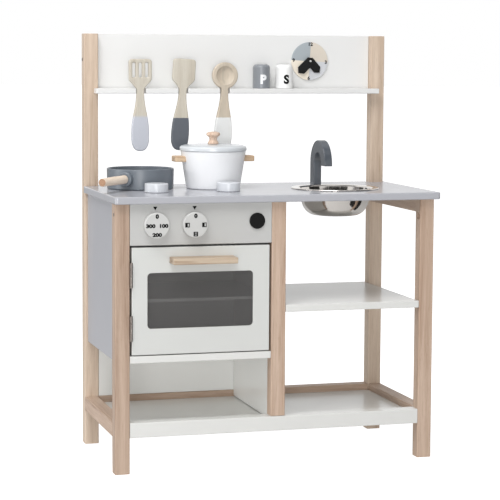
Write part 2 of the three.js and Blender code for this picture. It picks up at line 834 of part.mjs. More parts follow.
add("screw_cap_fascia_left", screwCap(0, 6.5, 463.7, -1), steel());
add("screw_cap_panel_left", screwCap(0, 290.5, 734, -1), steel());
add("screw_cap_panel_right", screwCap(WIDTH, 290.5, 734, 1), steel());

export default kitchen;
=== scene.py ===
import json
import math

import bmesh
import bpy
from mathutils import Matrix, Vector

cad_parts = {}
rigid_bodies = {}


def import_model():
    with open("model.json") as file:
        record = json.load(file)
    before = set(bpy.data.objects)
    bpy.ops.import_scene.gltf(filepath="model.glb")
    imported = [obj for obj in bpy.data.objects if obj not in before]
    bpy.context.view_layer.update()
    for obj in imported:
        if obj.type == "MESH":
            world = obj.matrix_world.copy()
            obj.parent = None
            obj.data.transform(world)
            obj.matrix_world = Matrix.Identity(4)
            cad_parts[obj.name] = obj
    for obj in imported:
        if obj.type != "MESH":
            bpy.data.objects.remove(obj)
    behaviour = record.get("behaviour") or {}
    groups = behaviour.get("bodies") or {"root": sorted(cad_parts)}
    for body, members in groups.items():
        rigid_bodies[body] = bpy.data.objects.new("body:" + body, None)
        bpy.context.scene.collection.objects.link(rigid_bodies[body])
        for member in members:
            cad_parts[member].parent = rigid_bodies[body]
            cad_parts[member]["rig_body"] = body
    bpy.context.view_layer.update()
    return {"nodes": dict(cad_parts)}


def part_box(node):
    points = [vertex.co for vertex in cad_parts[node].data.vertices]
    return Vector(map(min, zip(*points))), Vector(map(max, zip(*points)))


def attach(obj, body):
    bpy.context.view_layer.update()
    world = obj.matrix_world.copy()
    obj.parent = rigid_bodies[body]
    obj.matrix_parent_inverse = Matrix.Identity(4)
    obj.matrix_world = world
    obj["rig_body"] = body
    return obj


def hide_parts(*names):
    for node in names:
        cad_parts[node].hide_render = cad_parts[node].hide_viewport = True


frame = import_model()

# ======================================== camera
# Everything is measured in millimetres from the outer front left corner of the frame.
# The camera stands low and a little to the left, with a long lens.
MM = 0.001
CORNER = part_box("post_front_left")[0]


def spot(x, y, z):
    """A point of the kitchen in metres, from millimetres right, back and up from the corner."""
    return CORNER + Vector((x, y, z)) * MM


def colour(red, green, blue):
    """A paint colour from its 0 to 255 screen values."""
    screen = [c / 255 for c in (red, green, blue)]
    return (*(((c + 0.055) / 1.055) ** 2.4 if c > 0.04 else c / 12.92 for c in screen), 1.0)


camera = bpy.data.objects.new("camera", bpy.data.cameras.new("camera"))
bpy.context.collection.objects.link(camera)
bpy.context.scene.camera = camera
yaw, pitch, roll = (math.radians(angle) for angle in (16.45, 5.45, 0.36))
forward = Vector((math.sin(yaw) * math.cos(pitch), math.cos(yaw) * math.cos(pitch), -math.sin(pitch)))
level = Vector((math.cos(yaw), -math.sin(yaw), 0))
upright = level.cross(forward)
right = level * math.cos(roll) + upright * math.sin(roll)
above = upright * math.cos(roll) - level * math.sin(roll)
camera.matrix_world = Matrix((right, above, -forward)).transposed().to_4x4()
camera.location = spot(-676.0, -3186.8, 746.6)
camera.data.sensor_width = 36
camera.data.lens = 133.99
camera.data.shift_x = -0.0194
camera.data.shift_y = -0.0372
camera.data.clip_end = 200

# ======================================== studio
# A plain white floor under an evenly white surround, with a soft key light above the front left, a
# low fill from the front and a weak light from the left side. Dark flags that the camera doesn't see
# give the metal something to reflect.
bpy.context.scene.view_settings.view_transform = "Standard"
AMBIENT = 0.37


def dimmer(tree, bright, ambient, ray="Is Diffuse Ray"):
    """A strength that is bright where it is seen and weaker for the named kind of ray."""
    path = tree.nodes.new("ShaderNodeLightPath")
    amount = tree.nodes.new("ShaderNodeMapRange")
    amount.inputs["To Min"].default_value = bright
    amount.inputs["To Max"].default_value = ambient
    tree.links.new(path.outputs[ray], amount.inputs["Value"])
    return amount.outputs["Result"]


world = bpy.data.worlds.new("studio surround")
world.use_nodes = True
backdrop = world.node_tree.nodes["Background"]
backdrop.inputs["Color"].default_value = (1, 1, 1, 1)
world.node_tree.links.new(dimmer(world.node_tree, 1.0, AMBIENT), backdrop.inputs["Strength"])
bpy.context.scene.world = world


def soft_light(name, place, target, power):
    lamp = bpy.data.lights.new(name, "AREA")
    lamp.shape = "DISK"
    lamp.size = LAMP_ACROSS
    lamp.energy = power
    light = bpy.data.objects.new(name, lamp)
    light.location = place
    light.rotation_euler = (target - place).to_track_quat("-Z", "Y").to_euler()
    bpy.context.collection.objects.link(light)


LAMP_ACROSS = 1.6
MIDDLE = spot(300, 150, 450)
soft_light("key light", spot(-500, -800, 2300), MIDDLE, 39)
soft_light("fill light", spot(-1000, -4300, 250), spot(280, 0, 150), 84)
soft_light("side light", spot(-3400, 300, 700), MIDDLE, 30)
FLOOR_BOUNCE = 0.08


def stage_sheet(name, corners, shade, glow, seen=True):
    mesh = bpy.data.meshes.new(name)
    mesh.from_pydata(corners, [], [tuple(range(len(corners)))])
    sheet = bpy.data.objects.new(name, mesh)
    paper = bpy.data.materials.new(name)
    paper.use_nodes = True
    shader = paper.node_tree.nodes["Principled BSDF"]
    shader.inputs["Base Color"].default_value = (shade, shade, shade, 1)
    shader.inputs["Roughness"].default_value = 0.9
    shader.inputs["Specular IOR Level"].default_value = 0.1
    shader.inputs["Emission Color"].default_value = (1, 1, 1, 1)
    if glow:
        strength = dimmer(paper.node_tree, FLOOR_BOUNCE, glow, "Is Camera Ray")
        paper.node_tree.links.new(strength, shader.inputs["Emission Strength"])
    mesh.materials.append(paper)
    sheet.visible_camera = sheet.visible_diffuse = sheet.visible_shadow = seen
    bpy.context.collection.objects.link(sheet)


FLOOR_R = 40
UNDER_FEET = -0.0003
ring = [math.radians(a) for a in range(0, 360, 10)]
floor_edge = [(FLOOR_R * math.cos(a), FLOOR_R * math.sin(a), UNDER_FEET) for a in ring]
stage_sheet("floor", floor_edge, shade=0.75, glow=0.85)
FLAG_TOP = 5200
for name, start, end, foot in (
    ("middle flag", (-2600, -4000), (600, -4700), 1700),
    ("right front flag", (650, -4700), (3000, -3200), 1700),
    ("left front flag", (-3900, -2200), (-2650, -4000), 1700),
    ("right flag", (900, -500), (900, 60), 5),
    ("left flag", (-3900, -300), (-3900, 3500), 1200),
):
    corners = [spot(*start, foot), spot(*end, foot), spot(*end, FLAG_TOP), spot(*start, FLAG_TOP)]
    stage_sheet(name, corners, shade=0.02, glow=0.0, seen=False)

# ======================================== posts
# Five square birch posts with rounded long edges; the two at the back run up to hold the upper
# panel. The front right one has a counterbored hole for the connecting bolt of the top rail.
PLANES = {"XY": (0, 1, 2), "XZ": (0, 2, 1), "YZ": (1, 2, 0)}
ARC_STEP = math.radians(11)
POST_EDGE = 2.0
POST_END = 0.9


def span(node):
    """Lowest and highest corner of a CAD node in millimetres."""
    low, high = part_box(node)
    return (low - CORNER) / MM, (high - CORNER) / MM


def rounded(corners, closed=True):
    """Points of an outline or profile whose corners (u, v, radius) are turned into arcs."""
    points = []
    for i, (u, v, radius) in enumerate(corners):
        here = Vector((u, v))
        if radius == 0 or (not closed and i in (0, len(corners) - 1)):
            points.append(here)
            continue
        to_last = (Vector(corners[i - 1][:2]) - here).normalized()
        to_next = (Vector(corners[(i + 1) % len(corners)][:2]) - here).normalized()
        half = to_last.angle(to_next) / 2
        centre = here + (to_last + to_next).normalized() * (radius / math.sin(half))
        start = here + to_last * (radius / math.tan(half)) - centre
        sweep = math.pi - 2 * half
        side = 1 if to_last.cross(to_next) < 0 else -1
        steps = max(2, math.ceil(sweep / ARC_STEP))
        for k in range(steps + 1):
            a = side * sweep * k / steps
            turned_start = (
                start.x * math.cos(a) - start.y * math.sin(a),
                start.x * math.sin(a) + start.y * math.cos(a),
            )
            points.append(centre + Vector(turned_start))
    return points


def box_corners(u0, v0, u1, v1, radius):
    return [(u0, v0, radius), (u1, v0, radius), (u1, v1, radius), (u0, v1, radius)]


def circle(u, v, radius, steps=64):
    angles = [2 * math.pi * k / steps for k in range(steps)]
    return [Vector((u + radius * math.cos(a), v + radius * math.sin(a))) for a in angles]


def edge_rings(low, high, edge, steps=4):
    """(inset, height) pairs that round both long edges of a board."""
    rings = []
    for k in range(steps + 1):
        a = math.pi / 2 * k / steps
        rings.append((edge * (1 - math.sin(a)), low + edge * (1 - math.cos(a))))
    return rings + [(inset, low + high - height) for inset, height in reversed(rings)]


def inward(points):
    """For each point of an outline, the mitred step towards the material on its left."""
    steps = []
    for i, here in enumerate(points):
        into = (here - points[i - 1]).normalized()
        out = (points[(i + 1) % len(points)] - here).normalized()
        first = Vector((-into.y, into.x))
        second = Vector((-out.y, out.x))
        steps.append((first + second) / max(0.3, 1 + first.dot(second)))
    return steps


def slab(outline, low, high, edge, plane, holes=(), hole_rings=None):
    """A board as a bmesh in millimetres: outline in the plane, low to high across it."""
    bm = bmesh.new()
    u, v, w = PLANES[plane]
    rims = ([], [])
    for number, points in enumerate((outline, *holes)):
        area = sum(points[i - 1].cross(points[i]) for i in range(len(points)))
        if (area > 0) == (number > 0):
            points = points[::-1]
        rings = hole_rings if number and hole_rings else edge_rings(low, high, edge)
        steps = inward(points)
        last = None
        for inset, height in rings:
            verts = []
            for point, step in zip(points, steps):
                place = [0, 0, 0]
                place[u], place[v] = point + step * inset
                place[w] = height
                verts.append(bm.verts.new(place))
            if last is None:
                rims[0].append(verts)
            else:
                for i in range(len(verts)):
                    bm.faces.new((last[i - 1], last[i], verts[i], verts[i - 1]))
            last = verts
        rims[1].append(last)
    for loops in rims:
        if len(loops) == 1:
            bm.faces.new(loops[0])
            continue
        edges = [bm.edges.get((loop[i - 1], loop[i])) for loop in loops for i in range(len(loop))]
        bmesh.ops.triangle_fill(bm, edges=edges, use_beauty=True)
    return bm


def turned(profile, steps=72):
    """A turned piece as a bmesh in millimetres: (radius, height) points about the Z axis."""
    bm = bmesh.new()
    last = None
    for radius, height in profile:
        if radius < 1e-4:
            verts = [bm.verts.new((0, 0, height))]
        else:
            angles = [2 * math.pi * k / steps for k in range(steps)]
            verts = [bm.verts.new((radius * math.cos(a), radius * math.sin(a), height)) for a in angles]
        if last is not None and len(last) + len(verts) > 2:
            for i in range(steps):
                face = [last[i - 1], last[i]] if len(last) > 1 else [last[0]]
                face += [verts[i], verts[i - 1]] if len(verts) > 1 else [verts[0]]
                bm.faces.new(face)
        last = verts
    return bm


def put_at(bm, x, y, z, direction=(0, 0, 1)):
    """Turns a bmesh's Z axis to the direction and moves it to the point."""
    turn = Vector(direction).to_track_quat("Z", "Y").to_matrix().to_4x4()
    bmesh.ops.transform(bm, matrix=Matrix.Translation((x, y, z)) @ turn, verts=bm.verts)
    return bm


def lathe(corners, steps):
    """A turned piece from profile corners (radius, height, rounding), open at both ends."""
    return turned(rounded(corners, closed=False), steps)


CREASE = math.radians(38)


def smooth(mesh):
    mesh.polygons.foreach_set("use_smooth", [True] * len(mesh.polygons))
    mesh.set_sharp_from_angle(angle=CREASE)


def bare_piece(name, bm):
    """Puts a bmesh into the scene at its place, with clean normals."""
    bmesh.ops.remove_doubles(bm, verts=bm.verts, dist=1e-4)
    bmesh.ops.recalc_face_normals(bm, faces=bm.faces)
    bmesh.ops.transform(bm, matrix=Matrix.Translation(CORNER) @ Matrix.Scale(MM, 4), verts=bm.verts)
    mesh = bpy.data.meshes.new(name)
    bm.to_mesh(mesh)
    bm.free()
    smooth(mesh)
    piece = bpy.data.objects.new(name, mesh)
    bpy.context.collection.objects.link(piece)
    return piece


def carve(piece, cutter, operation="DIFFERENCE"):
    """Cuts one bmesh out of a piece, or joins it on."""
    tool = bare_piece("cutter", cutter)
    cut = piece.modifiers.new("cut", "BOOLEAN")
    cut.operation = operation
    cut.solver = "EXACT"
    cut.object = tool
    shape = piece.evaluated_get(bpy.context.evaluated_depsgraph_get())
    mesh = bpy.data.meshes.new_from_object(shape)
    mesh.name = piece.name
    piece.modifiers.clear()
    piece.data = mesh
    bpy.data.objects.remove(tool)
    smooth(mesh)


def make(piece, finish, slot, *nodes, body=None):
    """Gives a piece its finish, the CAD nodes it stands for and the body it rides on; the slot is not
    used.
    """
    piece.data.materials.clear()
    piece.data.materials.append(finish)
    weighted = piece.modifiers.new("flat faces stay flat", "WEIGHTED_NORMAL")
    weighted.keep_sharp = True
    if nodes:
        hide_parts(*nodes)
    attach(piece, body or frame["nodes"][nodes[0]]["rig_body"])


def build(name, bm, finish, slot, *nodes, body=None):
    """Makes a bmesh into a finished piece."""
    make(bare_piece(name, bm), finish, slot, *nodes, body=body)


def add_node(tree, kind, inputs=None, **settings):
    """A shader node with its settings; inputs are links when they are sockets, values if not."""
    node = tree.nodes.new("ShaderNode" + kind)
    for key, value in settings.items():
        setattr(node, key, value)
    for key, value in (inputs or {}).items():
        if isinstance(value, bpy.types.NodeSocket):
            tree.links.new(value, node.inputs[key])
        else:
            node.inputs[key].default_value = value
    return node


def noise(tree, where, scale, detail, roughness=0.5):
    settings = {"Vector": where, "Scale": scale, "Detail": detail, "Roughness": roughness}
    return add_node(tree, "TexNoise", settings).outputs[0]


def remap(tree, value, low, high, to_low=0.0, to_high=1.0):
    settings = {"Value": value, "From Min": low, "From Max": high, "To Min": to_low, "To Max": to_high}
    return add_node(tree, "MapRange", settings).outputs["Result"]


def spread(tree, value, to_low=0.0, to_high=1.0):
    """Draws the middle of a noise, where nearly all of it lies, out over a range."""
    return remap(tree, value, 0.3, 0.7, to_low, to_high)


def calc(tree, operation, first, second, clamp=False):
    return add_node(tree, "Math", {0: first, 1: second}, operation=operation, use_clamp=clamp).outputs[0]


def vector_calc(tree, operation, first, second):
    return add_node(tree, "VectorMath", {0: first, 1: second}, operation=operation).outputs[0]


def blend(tree, amount, first, second):
    """A colour between the first and the second."""
    return add_node(tree, "Mix", {0: amount, 6: first, 7: second}, data_type="RGBA").outputs[2]


def own_space(tree):
    return add_node(tree, "TexCoord").outputs["Object"]


def effect_group(name, inputs, outputs):
    """An empty node group with named sockets; returns the tree, its input and its output node."""
    tree = bpy.data.node_groups.new(name, "ShaderNodeTree")
    for label, kind, value in inputs:
        socket = tree.interface.new_socket(label, in_out="INPUT", socket_type="NodeSocket" + kind)
        if value is not None:
            socket.default_value = value
    for label, kind in outputs:
        tree.interface.new_socket(label, in_out="OUTPUT", socket_type="NodeSocket" + kind)
    return tree, tree.nodes.new("NodeGroupInput"), tree.nodes.new("NodeGroupOutput")


# Birch grain: broad bands, fine fibres, a few darker growth lines and short pores, all drawn out
# along the grain by a small Stretch.
grain, given, result = effect_group(
    "birch grain",
    [
        ("Vector", "Vector", None),
        ("Stretch", "Vector", (1.0, 1.0, 0.05)),
        ("Light", "Color", (0.6, 0.5, 0.4, 1)),
        ("Dark", "Color", (0.4, 0.3, 0.2, 1)),
    ],
    [("Color", "Color"), ("Roughness", "Float"), ("Height", "Float")],
)
wander = add_node(grain, "TexNoise", {"Vector": given.outputs["Vector"], "Scale": 3.2, "Detail": 1.0})
sway = add_node(grain, "VectorMath", {0: wander.outputs["Color"], "Scale": 0.012}, operation="SCALE")
drawn = vector_calc(grain, "MULTIPLY", given.outputs["Vector"], given.outputs["Stretch"])
along = vector_calc(grain, "ADD", drawn, sway.outputs[0])
fibres = noise(grain, along, 420.0, 3.0, 0.6)
band_part = remap(grain, noise(grain, along, 62.0, 2.0), 0.36, 0.66, 0.0, 0.5)
fibre_part = spread(grain, fibres, 0.0, 0.3)
growth_part = remap(grain, noise(grain, along, 150.0, 1.0), 0.6, 0.72, 0.0, 0.34)
pore_part = remap(grain, noise(grain, along, 1500.0, 0.0), 0.66, 0.76, 0.0, 0.22)
broad = calc(grain, "ADD", band_part, fibre_part)
depth = calc(grain, "ADD", broad, calc(grain, "ADD", growth_part, pore_part), clamp=True)
tone = blend(grain, depth, given.outputs["Light"], given.outputs["Dark"])
grain.links.new(tone, result.inputs["Color"])
grain.links.new(spread(grain, fibres, 0.42, 0.56), result.inputs["Roughness"])
grain.links.new(calc(grain, "SUBTRACT", fibre_part, pore_part), result.inputs["Height"])


def bare_finish(name, **values):
    """A material with a Principled BSDF and constant values on the shader's own sockets."""
    finish = bpy.data.materials.new(name)
    finish.use_nodes = True
    shader = finish.node_tree.nodes["Principled BSDF"]
    for label, value in values.items():
        shader.inputs[label.replace("_", " ")].default_value = value
    return finish, finish.node_tree, shader


def add_bump(tree, shader, height, distance, strength=1.0):
    bump = add_node(tree, "Bump", {"Height": height, "Distance": distance, "Strength": strength})
    tree.links.new(bump.outputs["Normal"], shader.inputs["Normal"])


def wear(tree, shader, coat, distance, strength):
    """Puts an effect group's colour, gloss and relief on the shader."""
    tree.links.new(coat.outputs["Color"], shader.inputs["Base Color"])
    tree.links.new(coat.outputs["Roughness"], shader.inputs["Roughness"])
    add_bump(tree, shader, coat.outputs["Height"], distance, strength)


def grain_on(tree, stretch, light, dark):
    """The birch grain with its own colours, along the axis whose stretch is small."""
    values = {"Vector": own_space(tree), "Stretch": stretch, "Light": light, "Dark": dark}
    return add_node(tree, "Group", values, node_tree=grain)


def birch(name, stretch, light, dark):
    """Clear matt lacquered birch."""
    finish, tree, shader = bare_finish(name, Specular_IOR_Level=0.4)
    wear(tree, shader, grain_on(tree, stretch, light, dark), 0.00012, 0.7)
    return finish


BIRCH_LIGHT = colour(207, 184, 165)
BIRCH_DARK = colour(166, 137, 116)
UPRIGHT = (1.0, 1.0, 0.045)
upright_birch = birch("upright birch", UPRIGHT, BIRCH_LIGHT, BIRCH_DARK)
# The left front post gets a darker copy of the birch: painted shade.
birch_painted_shade = birch("left front post birch, painted shade", UPRIGHT, colour(196, 173, 154), colour(154, 127, 108))
# The back posts get a lighter copy of the birch: painted light.
back_birch_painted_light = birch("back post birch, painted light", UPRIGHT, colour(217, 198, 179), colour(178, 155, 134))

BOLT_HOLE_R, BOLT_HOLE_DEEP = 6.8, 10
BOLT_HOLE_Y, BOLT_HOLE_Z = 11, 451

for name, node, wood in (
    ("left_back_post", "post_back_left", back_birch_painted_light),
    ("right_back_post", "post_back_right", back_birch_painted_light),
    ("left_front_post", "post_front_left", birch_painted_shade),
    ("right_front_post", "post_front_right", upright_birch),
    ("centre_post", "post_middle", upright_birch),
):
    low, high = span(node)
    outline = rounded(box_corners(low.x, low.y, high.x, high.y, POST_EDGE))
    post = bare_piece(name, slab(outline, low.z, high.z, POST_END, "XY"))
    if node == "post_front_right":
        hole = [(0, 0), (BOLT_HOLE_R, 0), (BOLT_HOLE_R, BOLT_HOLE_DEEP), (0, BOLT_HOLE_DEEP)]
        carve(post, put_at(turned(hole, 40), low.x, BOLT_HOLE_Y, BOLT_HOLE_Z, (1, 0, 0)))
    make(post, wood, "birch", node)

# ======================================== birch rails
# Square rails of the same birch tie the posts together near the floor at the left, right and back,
# and one more runs under the worktop at the right end.
cross_birch = birch("crosswise birch", (0.045, 1.0, 1.0), BIRCH_LIGHT, BIRCH_DARK)
depth_birch = birch("front to back birch", (1.0, 0.045, 1.0), BIRCH_LIGHT, BIRCH_DARK)
RAIL_EDGE = 1.5
RAIL_END = 0.2


def board(name, node, plane, finish, slot, edge, corner):
    """A straight board or rail that fills its CAD node's box."""
    low, high = span(node)
    u, v, w = PLANES[plane]
    outline = rounded(box_corners(low[u], low[v], high[u], high[v], corner))
    build(name, slab(outline, low[w], high[w], edge, plane), finish, slot, node)


for name, node, plane, wood in (
    ("left_floor_rail", "rail_bottom_left", "XZ", depth_birch),
    ("right_floor_rail", "rail_bottom_right", "XZ", depth_birch),
    ("back_floor_rail", "rail_bottom_back", "YZ", cross_birch),
    ("right_top_rail", "rail_top_right", "XZ", depth_birch),
):
    board(name, node, plane, wood, "birch", RAIL_END, RAIL_EDGE)

# ======================================== white boards
# Shelves, divider and back panels are thin boards sprayed satin white, with eased edges. The front
# floor rail is painted the same white and stands up a little in front of the bottom shelf.
lacquer, given, result = effect_group(
    "sprayed lacquer",
    [
        ("Vector", "Vector", None),
        ("Paint", "Color", (0.8, 0.8, 0.8, 1)),
        ("Mottle", "Float", 0.03),
        ("Satin", "Float", 0.3),
    ],
    [("Color", "Color"), ("Roughness", "Float"), ("Height", "Float")],
)
sprayed = given.outputs["Vector"]
clouds = spread(lacquer, noise(lacquer, sprayed, 5.0, 1.0))
kept = calc(lacquer, "SUBTRACT", 1.0, calc(lacquer, "MULTIPLY", clouds, given.outputs["Mottle"]))
shaded = add_node(lacquer, "VectorMath", {0: given.outputs["Paint"], "Scale": kept}, operation="SCALE")
lacquer.links.new(shaded.outputs[0], result.inputs["Color"])
patchy = spread(lacquer, noise(lacquer, sprayed, 14.0, 1.0), -0.012, 0.012)
lacquer.links.new(calc(lacquer, "ADD", given.outputs["Satin"], patchy), result.inputs["Roughness"])
lacquer.links.new(noise(lacquer, sprayed, 520.0, 2.0), result.inputs["Height"])
PEEL_DEEP, PEEL_STRENGTH = 0.00003, 0.6


def coat_on(tree, paint, satin, mottle=0.03):
    """The sprayed lacquer in one paint, which may be a colour or a link."""
    values = {"Vector": own_space(tree), "Paint": paint, "Mottle": mottle, "Satin": satin}
    return add_node(tree, "Group", values, node_tree=lacquer)


def painted(name, paint, satin, mottle=0.03, specular=0.5):
    """Sprayed satin lacquer: faint clouds of colour, orange peel and uneven gloss."""
    finish, tree, shader = bare_finish(name, Specular_IOR_Level=specular)
    wear(tree, shader, coat_on(tree, paint, satin, mottle), PEEL_DEEP, PEEL_STRENGTH)
    return finish


BOARD_EDGE = 1.4
GAP = 0.3
white_board = painted("white board paint", colour(222, 222, 219), 0.24)
# The inner boards get a lighter copy of the white paint: painted light that lifts the shade in the
# cubby, the oven and behind.
inner_white_painted_light = painted("inner board paint, painted light", colour(240, 240, 237), 0.24)
# The upper panel and utensil shelf get a slightly lighter copy of the white: painted light.
upper_white_painted_light = painted("upper panel paint, painted light", colour(226, 226, 225), 0.3)

board("front_floor_rail", "rail_bottom_front", "YZ", white_board, "white_paint", RAIL_END, RAIL_EDGE)
board("bottom_board", "bottom_shelf", "XY", inner_white_painted_light, "white_paint", 0.5, 0.8)
board("shelf_in_oven", "oven_shelf", "XY", inner_white_painted_light, "white_paint", 1.2, 1.5)
board("back_board", "back_panel_lower", "XZ", inner_white_painted_light, "white_paint", 0.5, 0.8)

low, high = span("oven_floor")
inner = span("divider_panel")[0].x - GAP
back = span("back_panel_lower")[0].y - GAP
post_back = span("post_front_left")[1].y + GAP
left_post = span("post_front_left")[1].x + GAP
middle_post = span("post_middle")[0].x - GAP
back_post = span("post_back_left")[0].y - GAP
oven_floor_corners = [
    (left_post, low.y, 1.6),
    (middle_post, low.y, 1.6),
    (middle_post, post_back, 0),
    (inner, post_back, 0),
    (inner, back, 0),
    (left_post, back, 0),
    (left_post, back_post, 0),
    (low.x, back_post, 0),
    (low.x, post_back, 0),
    (left_post, post_back, 0),
]
oven_floor = slab(rounded(oven_floor_corners), low.z, high.z, BOARD_EDGE, "XY")
build("oven_bottom_board", oven_floor, white_board, "white_paint", "oven_floor")

low, high = span("mid_shelf")
post_side = span("post_middle")[1].x + GAP
mid_corners = [
    (post_side, low.y, 1.6),
    (high.x, low.y, 1.6),
    (high.x, high.y, 1.6),
    (low.x, high.y, 1.6),
    (low.x, post_back, 0),
    (post_side, post_back, 0),
]
mid_board = slab(rounded(mid_corners), low.z, high.z, BOARD_EDGE, "XY")
build("middle_board", mid_board, white_board, "white_paint", "mid_shelf")

low, high = span("divider_panel")
rail_top = span("rail_bottom_back")[1].z + GAP
foot = low.z + 1.0
divider_corners = [(low.y, foot), (high.y, foot), (high.y, rail_top), (back, rail_top)]
divider_corners += [(back, high.z), (low.y, high.z)]
divider = slab([Vector(corner) for corner in divider_corners], low.x, high.x, 0.6, "YZ")
build("divider_board", divider, inner_white_painted_light, "white_paint", "divider_panel")

# ======================================== upper panel and utensil shelf
# The upper back panel sits between the tall posts. The narrow shelf in front of it laps onto the
# posts at both ends and has three open notches that the utensils hang in.
low, high = span("back_panel_upper")
panel = slab(rounded(box_corners(low.x, low.z, high.x, high.z, 1.1)), low.y, high.y, 0.8, "XZ")
build("upper_board", panel, upper_white_painted_light, "white_paint", "back_panel_upper")

low, high = span("top_shelf")
NOTCH_X = (104.5, 186.5, 268.5)
NOTCH_HALF = 9.5
NOTCH_BACK = 262
left_in, right_in = span("post_back_left")[1].x + GAP, span("post_back_right")[0].x - GAP
shelf_corners = [(low.x, low.y, 2.0)]
for x in NOTCH_X:
    shelf_corners += [(x - NOTCH_HALF, low.y, 1.7), (x - NOTCH_HALF, NOTCH_BACK, 3.0)]
    shelf_corners += [(x + NOTCH_HALF, NOTCH_BACK, 3.0), (x + NOTCH_HALF, low.y, 1.7)]
shelf_corners += [
    (high.x, low.y, 2.0),
    (high.x, back_post, 1.7),
    (right_in, back_post, 0),
    (right_in, high.y, 0),
    (left_in, high.y, 0),
    (left_in, back_post, 0),
    (low.x, back_post, 1.7),
]
utensil_shelf = slab(rounded(shelf_corners), low.z, high.z, BOARD_EDGE, "XY")
build("utensil_shelf", utensil_shelf, upper_white_painted_light, "white_paint", "top_shelf")

# ======================================== grey side panel and worktop
# The side panel is the same light grey as the worktop, with its paint made a little darker as painted
# shade. The worktop is one board, notched round the back posts, with a big round hole for the sink
# and rounded front corners.
grey_board = painted("light grey board paint", colour(177, 178, 184), 0.22)
# A darker copy of the worktop grey: painted shade on the side panel.
side_grey_painted_shade = painted("side panel paint, painted shade", colour(172, 173, 179), 0.34)
board("left_side_board", "side_panel_left", "YZ", side_grey_painted_shade, "grey_paint", 0.6, 0.9)

low, high = span("worktop")
sink_low, sink_high = span("sink_bowl")
SINK = ((sink_low + sink_high) / 2).to_2d()
FRAME_WIDE = 600
NOTCH_WIDE = 27.3
NOTCH_DEEP = 25.3
notch_front = high.y - NOTCH_DEEP
worktop_corners = [
    (low.x, low.y, 5),
    (high.x, low.y, 5),
    (high.x, high.y, 2.2),
    (FRAME_WIDE + GAP, high.y, 2.2),
    (FRAME_WIDE + GAP, notch_front, 0),
    (FRAME_WIDE - NOTCH_WIDE, notch_front, 0),
    (FRAME_WIDE - NOTCH_WIDE, high.y, 2.2),
    (NOTCH_WIDE, high.y, 2.2),
    (NOTCH_WIDE, notch_front, 0),
    (low.x, notch_front, 2.2),
]
SINK_HOLE_R = 71
sink_hole = circle(SINK.x, SINK.y, SINK_HOLE_R, 96)
counter = slab(rounded(worktop_corners), low.z, high.z, 2.0, "XY", holes=[sink_hole])
build("counter_board", counter, grey_board, "grey_paint", "worktop")

# ======================================== control panel
# A white board fixed between the posts above the oven door, with two turning knobs of lacquered
# wood, two printed pointer marks and a plain round black badge.
# The fascia gets a darker copy of the board white: the painted shadow of the worktop's overhang.
fascia_white_painted_shadow = painted("fascia paint, painted shadow", colour(192, 192, 190), 0.3)
board("oven_fascia", "control_panel", "XZ", fascia_white_painted_shadow, "white_paint", 1.0, 1.4)

black_lacquer = painted("black lacquer", colour(12, 12, 12), 0.2, 0.2, specular=0.3)
TO_FRONT = (0, -1, 0)


def disc(node, thick, steps):
    """A flat turned disc with a softened front edge, as wide as its CAD node and facing the front."""
    low, high = span(node)
    middle, radius = (low + high) / 2, (high.x - low.x) / 2
    edge = [(0, 0, 0), (radius, 0, 0.2), (radius, thick, 0.8), (0, thick, 0)]
    return put_at(lathe(edge, steps), middle.x, high.y, middle.z, TO_FRONT)


build("round_badge", disc("badge", 2.5, 64), black_lacquer, "black_paint", "badge")

print_black = painted("black print", colour(8, 8, 8), 0.55, 0.15, specular=0.15)
PRINT_T = 0.12


def lettering(text, height, bold=0.025, wide=1.0):
    """Printed characters as a thin bmesh, centred, in the XZ plane."""
    data = bpy.data.curves.new("lettering", "FONT")
    data.body = text
    data.offset = bold
    data.extrude = 0.02
    data.resolution_u = 4
    holder = bpy.data.objects.new("lettering", data)
    bpy.context.collection.objects.link(holder)
    shape = holder.evaluated_get(bpy.context.evaluated_depsgraph_get())
    mesh = bpy.data.meshes.new_from_object(shape)
    bpy.data.objects.remove(holder)
    bpy.data.curves.remove(data)
    bm = bmesh.new()
    bm.from_mesh(mesh)
    bpy.data.meshes.remove(mesh)
    bmesh.ops.remove_doubles(bm, verts=bm.verts, dist=1e-5)
    xs, ys = [v.co.x for v in bm.verts], [v.co.y for v in bm.verts]
    scale = height / (max(ys) - min(ys))
    for v in bm.verts:
        x = (v.co.x - (max(xs) + min(xs)) / 2) * scale * wide
        z = (v.co.y - (max(ys) + min(ys)) / 2) * scale
        v.co = (x, -PRINT_T / 2 if v.co.z > 0 else PRINT_T / 2, z)
    return bm


def gather(parts):
    """Joins several bmeshes, each moved by its own (x, y, z), into one."""
    whole = bmesh.new()
    for part, offset in parts:
        bmesh.ops.translate(part, verts=part.verts, vec=offset)
        mesh = bpy.data.meshes.new("part")
        part.to_mesh(mesh)
        part.free()
        whole.from_mesh(mesh)
        bpy.data.meshes.remove(mesh)
    return whole


def printed_shape(points, holes=()):
    return slab(points, -PRINT_T / 2, PRINT_T / 2, 0.0001, "XZ", holes=holes)


def box_points(u0, v0, u1, v1):
    return [Vector(p) for p in ((u0, v0), (u1, v0), (u1, v1), (u0, v1))]


